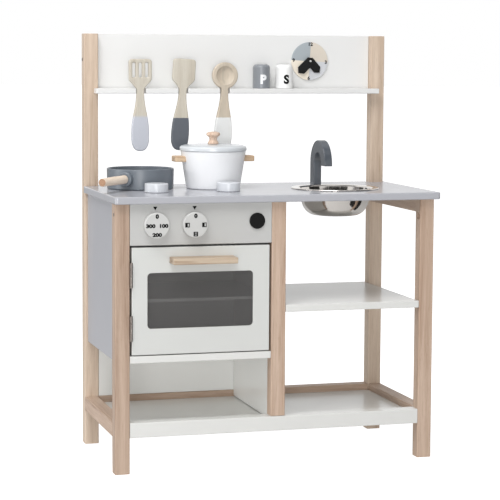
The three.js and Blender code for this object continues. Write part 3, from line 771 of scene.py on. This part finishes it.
knob_white = painted("knob lacquer", colour(199, 199, 197), 0.3)
BEHIND_KNOB = 0.5
SPINDLE_R = 4
HEAT_MARKS = (("100", 12.4, -0.6), ("200", 0, -16.4), ("300", -11.6, -0.6))
mode_square = box_points(-4.1, -4.1, 4.1, 4.1)
side_blank = [box_points(0.4, -2.5, 2.6, 2.5)]
foot_blanks = [box_points(-1.7, 1.1, 1.7, 2.5), box_points(-1.7, -2.5, 1.7, -1.1)]
MODE_MARKS = ((side_blank, -15.2, 0), (side_blank, 15.6, 0), (foot_blanks, 0, -16.2))
for node, name in (("oven_knob_temperature", "left_oven_dial"), ("oven_knob_mode", "right_oven_dial")):
    low, high = span(node)
    x, z = (low.x + high.x) / 2, (low.z + high.z) / 2
    radius = (high.x - low.x) / 2 - 0.9
    spindle, face = -high.y - BEHIND_KNOB, -low.y - BEHIND_KNOB
    knob_profile = [(0, spindle, 0), (SPINDLE_R, spindle, 0.3), (SPINDLE_R, 0, 0)]
    knob_profile += [(radius, 0, 0.7), (radius, face, 1.6), (0, face, 0)]
    knob = put_at(lathe(knob_profile, 96), x, -BEHIND_KNOB, z, TO_FRONT)
    build(name, knob, knob_white, "white_lacquer", node)
    front = low.y - PRINT_T / 2
    marks = [(lettering("0", 8.2, 0.075, 1.1), (x, front, z + 16.2))]
    if node == "oven_knob_temperature":
        for digits, dx, dz in HEAT_MARKS:
            marks.append((lettering(digits, 7.2, 0.065, 1.28), (x + dx, front, z + dz)))
    else:
        for blanks, dx, dz in MODE_MARKS:
            marks.append((printed_shape(mode_square, blanks), (x + dx, front, z + dz)))
    rides_on = frame["nodes"][node]["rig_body"]
    build(name + "_print", gather(marks), print_black, "black_paint", body=rides_on)

pointer = [Vector(p) for p in ((0, -3.6), (3.9, 3.2), (-3.9, 3.2))]
POINTER_X, POINTER_Z = (72.7, 144.4), 474.2
front = span("control_panel")[0].y - PRINT_T / 2
pointers = gather([(printed_shape(pointer), (x, front, POINTER_Z)) for x in POINTER_X])
build("pointer_marks", pointers, print_black, "black_paint", body="cabinet")

# ======================================== oven door
# A white board with a rounded window opening, rebated at the back for the pane. It swings on two
# small steel hinges at its left edge and has a birch pull across the top.
# The door gets a darker copy of the board white: painted shade on its front face.
door_white_painted_shade = painted("oven front paint, painted shade", colour(210, 211, 208), 0.3)
low, high = span("oven_door")
WINDOW = (59, 260, 253.3, 359.5)
LIP = 2.5
REBATE = 5.0
window_rings = edge_rings(low.y, high.y, 0.8)[:5]
window_rings += [(0, LIP), (REBATE, LIP), (REBATE, high.y - 0.3), (REBATE + 0.3, high.y)]
outline = rounded(box_corners(low.x, low.z, high.x, high.z, 1.6))
opening = [rounded(box_corners(*WINDOW, 7))]
door = slab(outline, low.y, high.y, BOARD_EDGE, "XZ", holes=opening, hole_rings=window_rings)
build("door_board", door, door_white_painted_shade, "white_paint", "oven_door")

pane, tree, shader = bare_finish(
    "smoked acrylic", Base_Color=(0.125, 0.121, 0.119, 1), Alpha=0.45, IOR=1.49
)
haze = noise(tree, own_space(tree), 12.0, 3.0)
tree.links.new(spread(tree, haze, 0.06, 0.13), shader.inputs["Roughness"])
low, high = span("oven_window")
glazing = slab(rounded(box_corners(low.x, low.z, high.x, high.z, 9)), low.y, high.y, 0.3, "XZ")
build("window_pane", glazing, pane, "smoked_acrylic", "oven_window")

pull_birch = birch("door pull birch", (0.05, 1.0, 1.0), colour(206, 190, 168), colour(150, 122, 100))
low, high = span("door_handle")
pull_outline = [(low.y, low.z, 1.6), (high.y, low.z, 0.4), (high.y, high.z, 0.4)]
pull_outline.append((low.y, high.z - 0.6, 1.4))
pull = slab(rounded(pull_outline), low.x, high.x, 1.4, "YZ")
build("door_pull", pull, pull_birch, "birch", "door_handle")

# ======================================== oven hinges
# Small zinc plated hinges: a leaf on the post, a leaf on the door edge and a loose pin through
# their knuckles. They are stamped parts and keep the shape they have in the frame.
zinc, tree, shader = bare_finish("zinc plate", Metallic=1.0)
where = own_space(tree)
spangle = add_node(tree, "TexVoronoi", {"Vector": where, "Scale": 420.0}).outputs["Distance"]
scuff = noise(tree, where, 260.0, 4.0)
tint = blend(tree, spangle, (0.13, 0.11, 0.1, 1), (0.25, 0.22, 0.2, 1))
tree.links.new(tint, shader.inputs["Base Color"])
tree.links.new(spread(tree, scuff, 0.3, 0.48), shader.inputs["Roughness"])
add_bump(tree, shader, scuff, 0.00004)
for level in ("upper", "lower"):
    for part in ("frame_leaf", "door_leaf", "pin"):
        frame["nodes"][f"hinge_{level}_{part}"].material_slots[0].material = zinc

# ======================================== sink
# A spun stainless bowl that drops into the hole in the worktop and hangs by its rolled rim. The
# spinning leaves fine rings about its axis.
steel, tree, shader = bare_finish("spun stainless steel", Metallic=1.0)
where = own_space(tree)
from_middle = vector_calc(tree, "SUBTRACT", where, (*spot(SINK.x, SINK.y, 0).to_2d(), 0))
flat = vector_calc(tree, "MULTIPLY", from_middle, (1, 1, 0))
from_axis = add_node(tree, "VectorMath", {0: flat}, operation="LENGTH").outputs["Value"]
up = add_node(tree, "SeparateXYZ", {0: where}).outputs["Z"]
spin = add_node(tree, "CombineXYZ", {0: from_axis, 1: 0.0, 2: up}).outputs[0]
rings = noise(tree, spin, 1100.0, 2.0)
tint = blend(tree, rings, (0.58, 0.54, 0.5, 1), (0.8, 0.77, 0.74, 1))
tree.links.new(tint, shader.inputs["Base Color"])
tree.links.new(spread(tree, noise(tree, where, 18.0, 3.0), 0.06, 0.13), shader.inputs["Roughness"])
add_bump(tree, shader, rings, 0.00002, 0.5)

low, high = span("sink_bowl")
top = span("worktop")[1].z
rim_r = (high.x - low.x) / 2
bowl_depth = top - low.z
MOUTH_R = 68.5
SHEET = 0.9
dish = [
    (MOUTH_R, 0.3),
    (MOUTH_R - 1.5, -8),
    (MOUTH_R - 3.3, -16),
    (MOUTH_R - 7.1, -30),
    (MOUTH_R - 13.3, -41),
    (45.5, -48),
    (36, -bowl_depth),
]


def glide(a, b, c, d, between):
    """Points from b up to c on a smooth curve that comes from a and goes on to d."""
    square = 2 * a - 5 * b + 4 * c - d
    cube = 3 * b - a - 3 * c + d
    steps = [k / between for k in range(between)]
    return [0.5 * (2 * b + (c - a) * t + square * t**2 + cube * t**3) for t in steps]


def eased(points, between=5):
    """A smooth open curve through profile points."""
    points = [Vector(p) for p in points]
    padded = [2 * points[0] - points[1], *points, 2 * points[-1] - points[-2]]
    curve = []
    for four in zip(padded, padded[1:], padded[2:], padded[3:]):
        curve += glide(*four, between)
    return [*curve, points[-1]]


outside = eased(dish)
inside = [Vector((r - 1.0, h + SHEET)) for r, h in outside]
rim_corners = [(MOUTH_R, 0.3, 0), (rim_r, 0.3, 0.9), (rim_r, 2.6, 1.2)]
rim_corners += [(MOUTH_R + 2.6, 2.0, 3.0), (MOUTH_R - 1.0, 0.6, 0)]
rim = rounded(rim_corners, closed=False)
bowl_profile = [Vector((0, -bowl_depth)), *outside[::-1], *rim[1:-1], *inside[1:]]
bowl_profile.append(Vector((0, -bowl_depth + SHEET)))
bowl = put_at(turned(bowl_profile, 128), SINK.x, SINK.y, top)
build("sink_dish", bowl, steel, "steel", "sink_bowl")

# ======================================== tap
# A cane shape cut from thick board, rounded over and lacquered slate grey. It turns on a dowel
# that reaches down into the worktop.
slate = painted("slate lacquer", colour(86, 91, 98), 0.24, 0.08)
low, high = span("faucet")
TAP_OUTER = 44.5
TAP_INNER = 21
arch_y = high.y - TAP_OUTER
arch_z = high.z - TAP_OUTER
SPOUT_Z = 535.5
tap_foot = top + 0.4


def arc(u, v, radius, start, end, steps):
    """Points of an arc about (u, v), from the start angle to the end angle."""
    angles = [start + (end - start) * k / steps for k in range(steps + 1)]
    return [Vector((u + radius * math.cos(a), v + radius * math.sin(a))) for a in angles]


tap_points = [
    Vector((high.y, tap_foot)),
    *arc(arch_y, arch_z, TAP_OUTER, 0, math.pi, 24),
    Vector((arch_y - TAP_OUTER, SPOUT_Z)),
    Vector((arch_y - TAP_INNER, SPOUT_Z)),
    *arc(arch_y, arch_z, TAP_INNER, math.pi, 0, 18),
    Vector((arch_y + TAP_INNER, tap_foot)),
]
build("cane_tap", slab(tap_points, low.x, high.x, 1.5, "YZ"), slate, "slate_lacquer", "faucet")

# ======================================== hob knobs
# Two plain white discs on the worktop, turned from wood and lacquered, each on a short spindle.
hob_white = painted("hob knob lacquer", colour(214, 217, 222), 0.28)
foot = top + BEHIND_KNOB
for name, node in (("left_hob_disc", "hob_knob_left"), ("right_hob_disc", "hob_knob_right")):
    low, high = span(node)
    radius = (high.x - low.x) / 2
    spindle, face = low.z - foot, high.z - foot
    hob_profile = [(0, spindle, 0), (SPINDLE_R, spindle, 0.3), (SPINDLE_R, 0, 0)]
    hob_profile += [(radius, 0, 0.8), (radius, face, 2.0), (0, face, 0)]
    hob_knob = put_at(lathe(hob_profile, 96), (low.x + high.x) / 2, (low.y + high.y) / 2, foot)
    build(name, hob_knob, hob_white, "white_lacquer", node)

# ======================================== clock
# A thin round dial printed in four quarters with small black numerals, and two chunky black hands
# that a child can turn on a white peg.
low, high = span("clock_face")
clock_x, clock_z = (low.x + high.x) / 2, (low.z + high.z) / 2
dial, tree, shader = bare_finish("printed dial")
axes = add_node(tree, "SeparateXYZ", {0: own_space(tree)})
centre = spot(clock_x, 0, clock_z)
CLOCK_TILT = math.radians(3.2)
offset_x = calc(tree, "SUBTRACT", axes.outputs["X"], centre.x)
offset_z = calc(tree, "SUBTRACT", axes.outputs["Z"], centre.z)
lean = math.tan(CLOCK_TILT)
is_right = calc(tree, "GREATER_THAN", offset_x, calc(tree, "MULTIPLY", offset_z, lean))
is_top = calc(tree, "GREATER_THAN", offset_z, calc(tree, "MULTIPLY", offset_x, -lean))
upper = blend(tree, is_right, colour(164, 172, 177), colour(212, 203, 190))
lower = blend(tree, is_right, colour(238, 228, 212), colour(202, 204, 208))
quarters = blend(tree, is_top, lower, upper)
wear(tree, shader, coat_on(tree, quarters, 0.3), PEEL_DEEP, PEEL_STRENGTH)
build("clock_dial", disc("clock_face", 3, 96), dial, "clock_print", "clock_face")

NUMERAL = 7.0
NUMERAL_R = 33.0
front = low.y - PRINT_T / 2
placed = []
for quarter, text in enumerate(("12", "3", "6", "9")):
    angle = math.pi / 2 * quarter + CLOCK_TILT
    place = (clock_x + NUMERAL_R * math.sin(angle), front, clock_z + NUMERAL_R * math.cos(angle))
    placed.append((lettering(text, NUMERAL, 0.045, 1.1), place))
build("clock_numerals", gather(placed), print_black, "black_paint", body="cabinet")

HAND_CORNER = 1.0
for name, node, reach, width, direction in (
    ("short_hand", "clock_hour_hand", 30, 17, -48.5),
    ("long_hand", "clock_minute_hand", 34, 18, -136.5),
):
    low, high = span(node)
    half, shoulder = width / 2, reach - 7.5
    corners = [(-8, 0), (-1.5, -half), (shoulder, -half), (reach, 0), (shoulder, half), (-1.5, half)]
    turn = Matrix.Rotation(math.radians(direction), 2)
    outline = rounded([(*corner, HAND_CORNER) for corner in corners])
    outline = [turn @ p + Vector((clock_x, clock_z)) for p in outline]
    hand = slab(outline, low.y, high.y, 0.9, "XZ", holes=[circle(clock_x, clock_z, 2.4, 32)])
    build(name, hand, black_lacquer, "black_paint", node)

low, high = span("clock_pin")
peg_r, peg_long = (high.x - low.x) / 2, high.y - low.y
peg = lathe([(0, 0, 0), (peg_r, 0, 0), (peg_r, peg_long, 1.3), (0, peg_long, 0)], 40)
peg = put_at(peg, clock_x, high.y, clock_z, TO_FRONT)
build("clock_peg", peg, knob_white, "white_paint", "clock_pin")

# ======================================== hanging utensils
# Two spatulas and a ladle sawn from birch board and rounded over. They hang by their shoulders in
# the shelf notches, and their handles are dipped in paint to a level line.
dip, given, result = effect_group(
    "paint dip",
    [
        ("Vector", "Vector", None),
        ("Wood", "Color", (0.6, 0.5, 0.4, 1)),
        ("Paint", "Color", (0.5, 0.5, 0.5, 1)),
        ("Level", "Float", 0.6),
        ("Blur", "Float", 0.0006),
    ],
    [("Color", "Color"), ("Mask", "Float")],
)
height = add_node(dip, "SeparateXYZ", {0: given.outputs["Vector"]}).outputs["Z"]
ripple = noise(dip, given.outputs["Vector"], 160.0, 1.0)
uneven = remap(dip, ripple, 0.0, 1.0, -0.0004, 0.0004)
below = calc(dip, "SUBTRACT", given.outputs["Level"], calc(dip, "ADD", height, uneven))
mask = calc(dip, "ADD", calc(dip, "DIVIDE", below, given.outputs["Blur"]), 0.5, True)
dip.links.new(blend(dip, mask, given.outputs["Wood"], given.outputs["Paint"]), result.inputs["Color"])
dip.links.new(mask, result.inputs["Mask"])


def dipped_birch(name, light, dark, paint, level, blur):
    """Birch with its lower end dipped in satin paint up to a level in millimetres."""
    finish, tree, shader = bare_finish(name)
    wood = grain_on(tree, (1.0, 1.0, 0.06), light, dark)
    coat = coat_on(tree, paint, 0.36)
    values = {"Vector": own_space(tree), "Wood": wood.outputs["Color"], "Paint": coat.outputs["Color"]}
    values |= {"Level": CORNER.z + level * MM, "Blur": blur * MM}
    line = add_node(tree, "Group", values, node_tree=dip)
    tree.links.new(line.outputs["Color"], shader.inputs["Base Color"])
    amount = {0: line.outputs["Mask"], 2: wood.outputs["Roughness"], 3: coat.outputs["Roughness"]}
    tree.links.new(add_node(tree, "Mix", amount).outputs[0], shader.inputs["Roughness"])
    add_bump(tree, shader, wood.outputs["Height"], 0.00008, 0.5)
    return finish


def flowing(points, between=4):
    """A closed smooth curve through the points."""
    curve = []
    for i in range(len(points)):
        four = [Vector(points[(i + k) % len(points)]) for k in (-1, 0, 1, 2)]
        curve += glide(*four, between)
    return curve


# Right halves from the centre line, with height zero at the shoulders that rest on the shelf.
GRIP = [(0, -118.6), (7.5, -117), (13, -111.5), (16.2, -102), (17, -90), (16.8, -78)]
GRIP += [(15.6, -64), (13.2, -50), (10.3, -36), (8.3, -23), (7.3, -10)]
BLADE = [(7.4, -3), (9.4, 1.3), (14, 7), (19.5, 12.8), (21.6, 17), (22, 22), (22, 35), (22, 48.5)]
BLADE += [(21.2, 52), (18, 54.4), (9, 55.2)]


def both_sides(half):
    """A closed outline from its right half, which starts on the centre line."""
    return half + [(-x, z) for x, z in reversed(half[1:])]


def hang(bm, x, lift, tilt):
    """Hangs a utensil in its notch, a little above the shelf and leaning to one side."""
    shelf_top = span("top_shelf")[1].z
    place = Matrix.Translation((x, 0, shelf_top + lift)) @ Matrix.Rotation(math.radians(tilt), 4, "Y")
    bmesh.ops.transform(bm, matrix=place, verts=bm.verts)
    return bm


PALE_LIGHT = colour(202, 196, 183)
PALE_DARK = colour(176, 166, 150)
blade_outline = flowing(both_sides(GRIP + BLADE))
slots = [rounded(box_corners(x - 3.15, 20, x + 3.15, 48.5, 3.1)) for x in (-12.5, 0, 12.5)]
low, high = span("spatula_slotted")
slotted = slab(blade_outline, low.y, high.y, 2.0, "XZ", holes=slots)
lavender = dipped_birch("lavender dip", PALE_LIGHT, PALE_DARK, colour(193, 196, 205), 627.5, 5.0)
build("slotted_turner", hang(slotted, 103.4, 0.3, 0), lavender, "birch", "spatula_slotted")

low, high = span("spatula_flat")
turner = slab(blade_outline, low.y, high.y, 2.0, "XZ")
dark_dip = dipped_birch("slate dip", PALE_LIGHT, PALE_DARK, colour(91, 96, 104), 624.5, 0.8)
build("flat_turner", hang(turner, 186.4, 1, 3.6), dark_dip, "birch", "spatula_flat")

LADLE_R = 25.2
LADLE_Z = 24.2
LADLE_HANGS = (268.4, 0.6, 1.8)
bowl_round = arc(0, LADLE_Z, LADLE_R, math.radians(-68), math.radians(86.8), 12)
ladle_half = [*GRIP, (7.3, -1), *bowl_round]
low, high = span("ladle")
ladle_board = slab(flowing(both_sides(ladle_half), 3), low.y, high.y, 2.2, "XZ")
ladle = bare_piece("round_ladle", hang(ladle_board, *LADLE_HANGS))
hollow = lathe([(0, -5.6, 0), (9, -5.0, 8), (15.6, -2.4, 8), (19.4, 1.2, 0), (0, 1.2, 0)], 72)
carve(ladle, hang(put_at(hollow, 0, low.y, LADLE_Z, TO_FRONT), *LADLE_HANGS))
LADLE_LIGHT = colour(206, 192, 174)
pale_dip = dipped_birch("pale grey dip", LADLE_LIGHT, PALE_DARK, colour(226, 227, 226), 625.0, 1.0)
make(ladle, pale_dip, "birch", "ladle")

# ======================================== shakers
# Turned wooden cylinders with domed tops, one slate grey and one white. Each stands loose on the
# narrow shelf and has a letter printed on its side.
shaker_white = painted("shaker white lacquer", colour(240, 240, 239), 0.34, 0.02)
shaker_grey = painted("shaker grey lacquer", colour(133, 137, 142), 0.34, 0.06)
letter_white = painted("white print", colour(238, 240, 242), 0.45, 0.02)
LETTER_Z = 697.9
LETTER_TURN = math.radians(-4)
LETTER_STRIP = 0.9
for name, node, finish, slot, letter, ink, ink_slot, offset in (
    ("pepper_pot", "pepper_shaker", shaker_grey, "slate_lacquer", "P", letter_white, "white_paint", 1.0),
    ("salt_pot", "salt_shaker", shaker_white, "white_lacquer", "S", print_black, "black_paint", 1.2),
):
    low, high = span(node)
    x, y, radius = (low.x + high.x) / 2, (low.y + high.y) / 2, (high.x - low.x) / 2
    tall = high.z - low.z
    shaker = lathe([(0, 0, 0), (radius, 0, 1.0), (radius, tall, 7.0), (0, tall, 0)], 96)
    build(name, put_at(shaker, x, y, low.z), finish, slot, node)
    label = lettering(letter, 18.0, 0.05)
    for cut in range(-8, 9):
        everything = [*label.verts, *label.edges, *label.faces]
        line = (cut * LETTER_STRIP, 0, 0)
        bmesh.ops.bisect_plane(label, geom=everything, plane_co=line, plane_no=(1, 0, 0))
    for v in label.verts:
        turn = (v.co.x + offset) / radius + LETTER_TURN
        out = radius + PRINT_T / 2 - v.co.y
        v.co = (x + out * math.sin(turn), y - out * math.cos(turn), LETTER_Z + v.co.z)
    build(f"{name}_letter", label, ink, ink_slot, body=frame["nodes"][node]["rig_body"])

# ======================================== frying pan
# A turned wooden pan lacquered slate, loose on the worktop. A round boss glued to its side takes the
# plain dowel handle.
pan_slate = painted("pan slate lacquer", colour(110, 117, 125), 0.34, 0.1)
low, high = span("pan_body")
PAN = Vector((89.4, 192.5))
PAN_BASE_R = 61.6
PAN_TOP_R = 62.4
PAN_WALL = 3.4
VESSEL_FLOOR = 4


def vessel(base_r, top_r, tall, wall, foot_round, lip_round):
    """A turned open vessel standing on z = 0."""
    return lathe(
        [
            (0, 0, 0),
            (base_r, 0, foot_round),
            (top_r, tall, lip_round),
            (top_r - wall, tall, lip_round),
            (base_r - wall, VESSEL_FLOOR, 4.0),
            (0, VESSEL_FLOOR, 0),
        ],
        128,
    )


pan = vessel(PAN_BASE_R, PAN_TOP_R, high.z - low.z, PAN_WALL, 2.6, 1.4)
pan = bare_piece("pan", put_at(pan, PAN.x, PAN.y, low.z))
swing = math.radians(37.5)
outwards = Vector((-math.sin(swing), -math.cos(swing), 0))
HANDLE_UP = 20.6
BOSS_R = 14
BOSS_HOLE_R = 8.1
BOSS_START = 60.4
BOSS_END = PAN_TOP_R + 8
boss_long = BOSS_END - BOSS_START
hole_end = boss_long - 5
boss_profile = [(0, 0, 0), (BOSS_R, 0, 0), (BOSS_R, boss_long, 2.4)]
boss_profile += [(BOSS_HOLE_R, boss_long, 0.5), (BOSS_HOLE_R, hole_end, 0), (0, hole_end, 0)]
handle_from = Vector((PAN.x, PAN.y, low.z + HANDLE_UP))
boss = put_at(lathe(boss_profile, 72), *(handle_from + outwards * BOSS_START), outwards)
carve(pan, boss, "UNION")
make(pan, pan_slate, "slate_lacquer", "pan_body")

dowel_birch = birch("dowel birch", (0.09, 0.09, 1.0), colour(250, 234, 216), colour(222, 198, 174))
DOWEL_R = 7.8
DOWEL_LONG = 97
DOWEL_IN_BOSS = 4.6
dowel_profile = [(0, 0, 0), (DOWEL_R, 0, 0.8), (DOWEL_R, DOWEL_LONG / 2, 40)]
dowel_profile += [(DOWEL_R - 0.5, DOWEL_LONG, 2.0), (0, DOWEL_LONG, 0)]
dowel_at = handle_from + outwards * (BOSS_END - DOWEL_IN_BOSS)
dowel = put_at(lathe(dowel_profile, 64), *dowel_at, outwards)

# The sawn end of the dowel shows darker end grain.
END_GRAIN_FROM, END_GRAIN_TO = -0.0012, -0.0005
tree = dowel_birch.node_tree
dowel_tip = spot(*(dowel_at + outwards * DOWEL_LONG))
from_tip = vector_calc(tree, "SUBTRACT", own_space(tree), tuple(dowel_tip))
past = add_node(tree, "VectorMath", {0: from_tip, 1: tuple(outwards)}, operation="DOT_PRODUCT")
is_tip = remap(tree, past.outputs["Value"], END_GRAIN_FROM, END_GRAIN_TO)
tip_colour = tree.nodes["Principled BSDF"].inputs["Base Color"]
face_grain = tip_colour.links[0].from_socket
tree.links.new(blend(tree, is_tip, face_grain, colour(168, 132, 106)), tip_colour)
build("pan_grip", dowel, dowel_birch, "birch", "pan_handle")

# ======================================== cooking pot
# A turned white pot that widens upwards, two birch block handles glued to its wall, and a domed lid
# with a turned birch knob.
pot_white = painted("pot lacquer", colour(240, 241, 243), 0.2, 0.02)
low, high = span("pot_body")
POT = Vector((224, 172))
POT_BASE_R = 50.2
POT_TOP_R = 61.2
POT_WALL = 3.0
pot = vessel(POT_BASE_R, POT_TOP_R, high.z - low.z, POT_WALL, 3.2, 1.2)
build("pot", put_at(pot, POT.x, POT.y, low.z), pot_white, "white_lacquer", "pot_body")

block_birch = birch("pot handle birch", (0.07, 1.0, 1.0), colour(214, 190, 160), colour(172, 140, 112))
WALL_R = 58.0
for name, node, side in (("left_ear", "pot_handle_left", -1), ("right_ear", "pot_handle_right", 1)):
    low, high = span(node)
    half = (high.y - low.y) / 2
    outer = max(abs(low.x - POT.x), abs(high.x - POT.x))
    ear = rounded([(outer, -half, 3.2), (outer, half, 3.2), (0, half, 0), (0, -half, 0)])
    ear = [p for p in ear if p.x > 0]
    sweep = math.asin(half / WALL_R)
    ear += arc(0, 0, WALL_R, sweep, -sweep, 8)
    ear = [Vector((POT.x + side * p.x, POT.y + p.y)) for p in ear]
    build(name, slab(ear, low.z, high.z, 1.6, "XY"), block_birch, "birch", node)

low, high = span("pot_lid")
lid_r = (high.x - low.x) / 2
plug_r = POT_TOP_R - POT_WALL - 0.6
seat = span("pot_body")[1].z + GAP
plug, lid_top = low.z - seat, high.z - seat
lid_profile = [(0, plug, 0), (plug_r, plug, 0.6), (plug_r, 0, 0), (lid_r, 0, 1.0), (lid_r, 7.6, 4.6)]
lid_profile += [(lid_r - 9, 10.6, 14), (lid_r - 28, 11.4, 40), (14, lid_top, 20), (0, lid_top, 0)]
# The lid gets a darker copy of the pot's white: painted shade that tones down the strong light on its
# top.
lid_white_painted_shade = painted("lid lacquer, painted shade", colour(208, 212, 216), 0.22, 0.02)
lid = put_at(lathe(lid_profile, 128), POT.x, POT.y, seat)
build("lid", lid, lid_white_painted_shade, "white_lacquer", "pot_lid")

knob_birch = birch("lid knob birch", (1.0, 1.0, 0.15), colour(222, 200, 182), colour(186, 154, 130))
low, high = span("pot_lid_knob")
pull_profile = [(0, 0, 0), (10.2, 0, 0.6), (10.0, 3.0, 1.0), (6.6, 8.4, 6.0), (8.4, 13.4, 6.0)]
pull_profile += [(12.8, 16.2, 2.0), (12.6, 20.8, 2.4), (7, 23.0, 8), (0, high.z - low.z, 0)]
lid_pull = put_at(lathe(pull_profile, 72), POT.x, POT.y, low.z)
build("lid_pull", lid_pull, knob_birch, "birch", "pot_lid_knob")

# ======================================== screw caps
# Dull metal heads of the connecting bolts, with a hexagon socket, on the outer sides of the posts.
cap_metal, tree, shader = bare_finish("dull bolt metal", Metallic=1.0)
scuff = noise(tree, own_space(tree), 700.0, 3.0)
tint = blend(tree, scuff, (0.16, 0.14, 0.12, 1), (0.34, 0.31, 0.28, 1))
tree.links.new(tint, shader.inputs["Base Color"])
tree.links.new(spread(tree, scuff, 0.34, 0.5), shader.inputs["Roughness"])
add_bump(tree, shader, scuff, 0.00003)
HEX_R = 1.6
for name, node, side in (
    ("fascia_bolt_head", "screw_cap_fascia_left", -1),
    ("left_panel_bolt_head", "screw_cap_panel_left", -1),
    ("right_panel_bolt_head", "screw_cap_panel_right", 1),
):
    low, high = span(node)
    middle, radius, thick = (low + high) / 2, (high.z - low.z) / 2, high.x - low.x
    start, end = (high.x, low.x) if side < 0 else (low.x, high.x)
    head = lathe([(0, 0, 0), (radius, 0, 0), (radius, thick, 0.4), (0, thick, 0)], 48)
    head = bare_piece(name, put_at(head, start, middle.y, middle.z, (side, 0, 0)))
    socket = turned([(0, -0.5), (HEX_R, -0.5), (HEX_R, 1), (0, 1)], 6)
    carve(head, put_at(socket, end, middle.y, middle.z, (side, 0, 0)))
    make(head, cap_metal, "cap_steel", node)
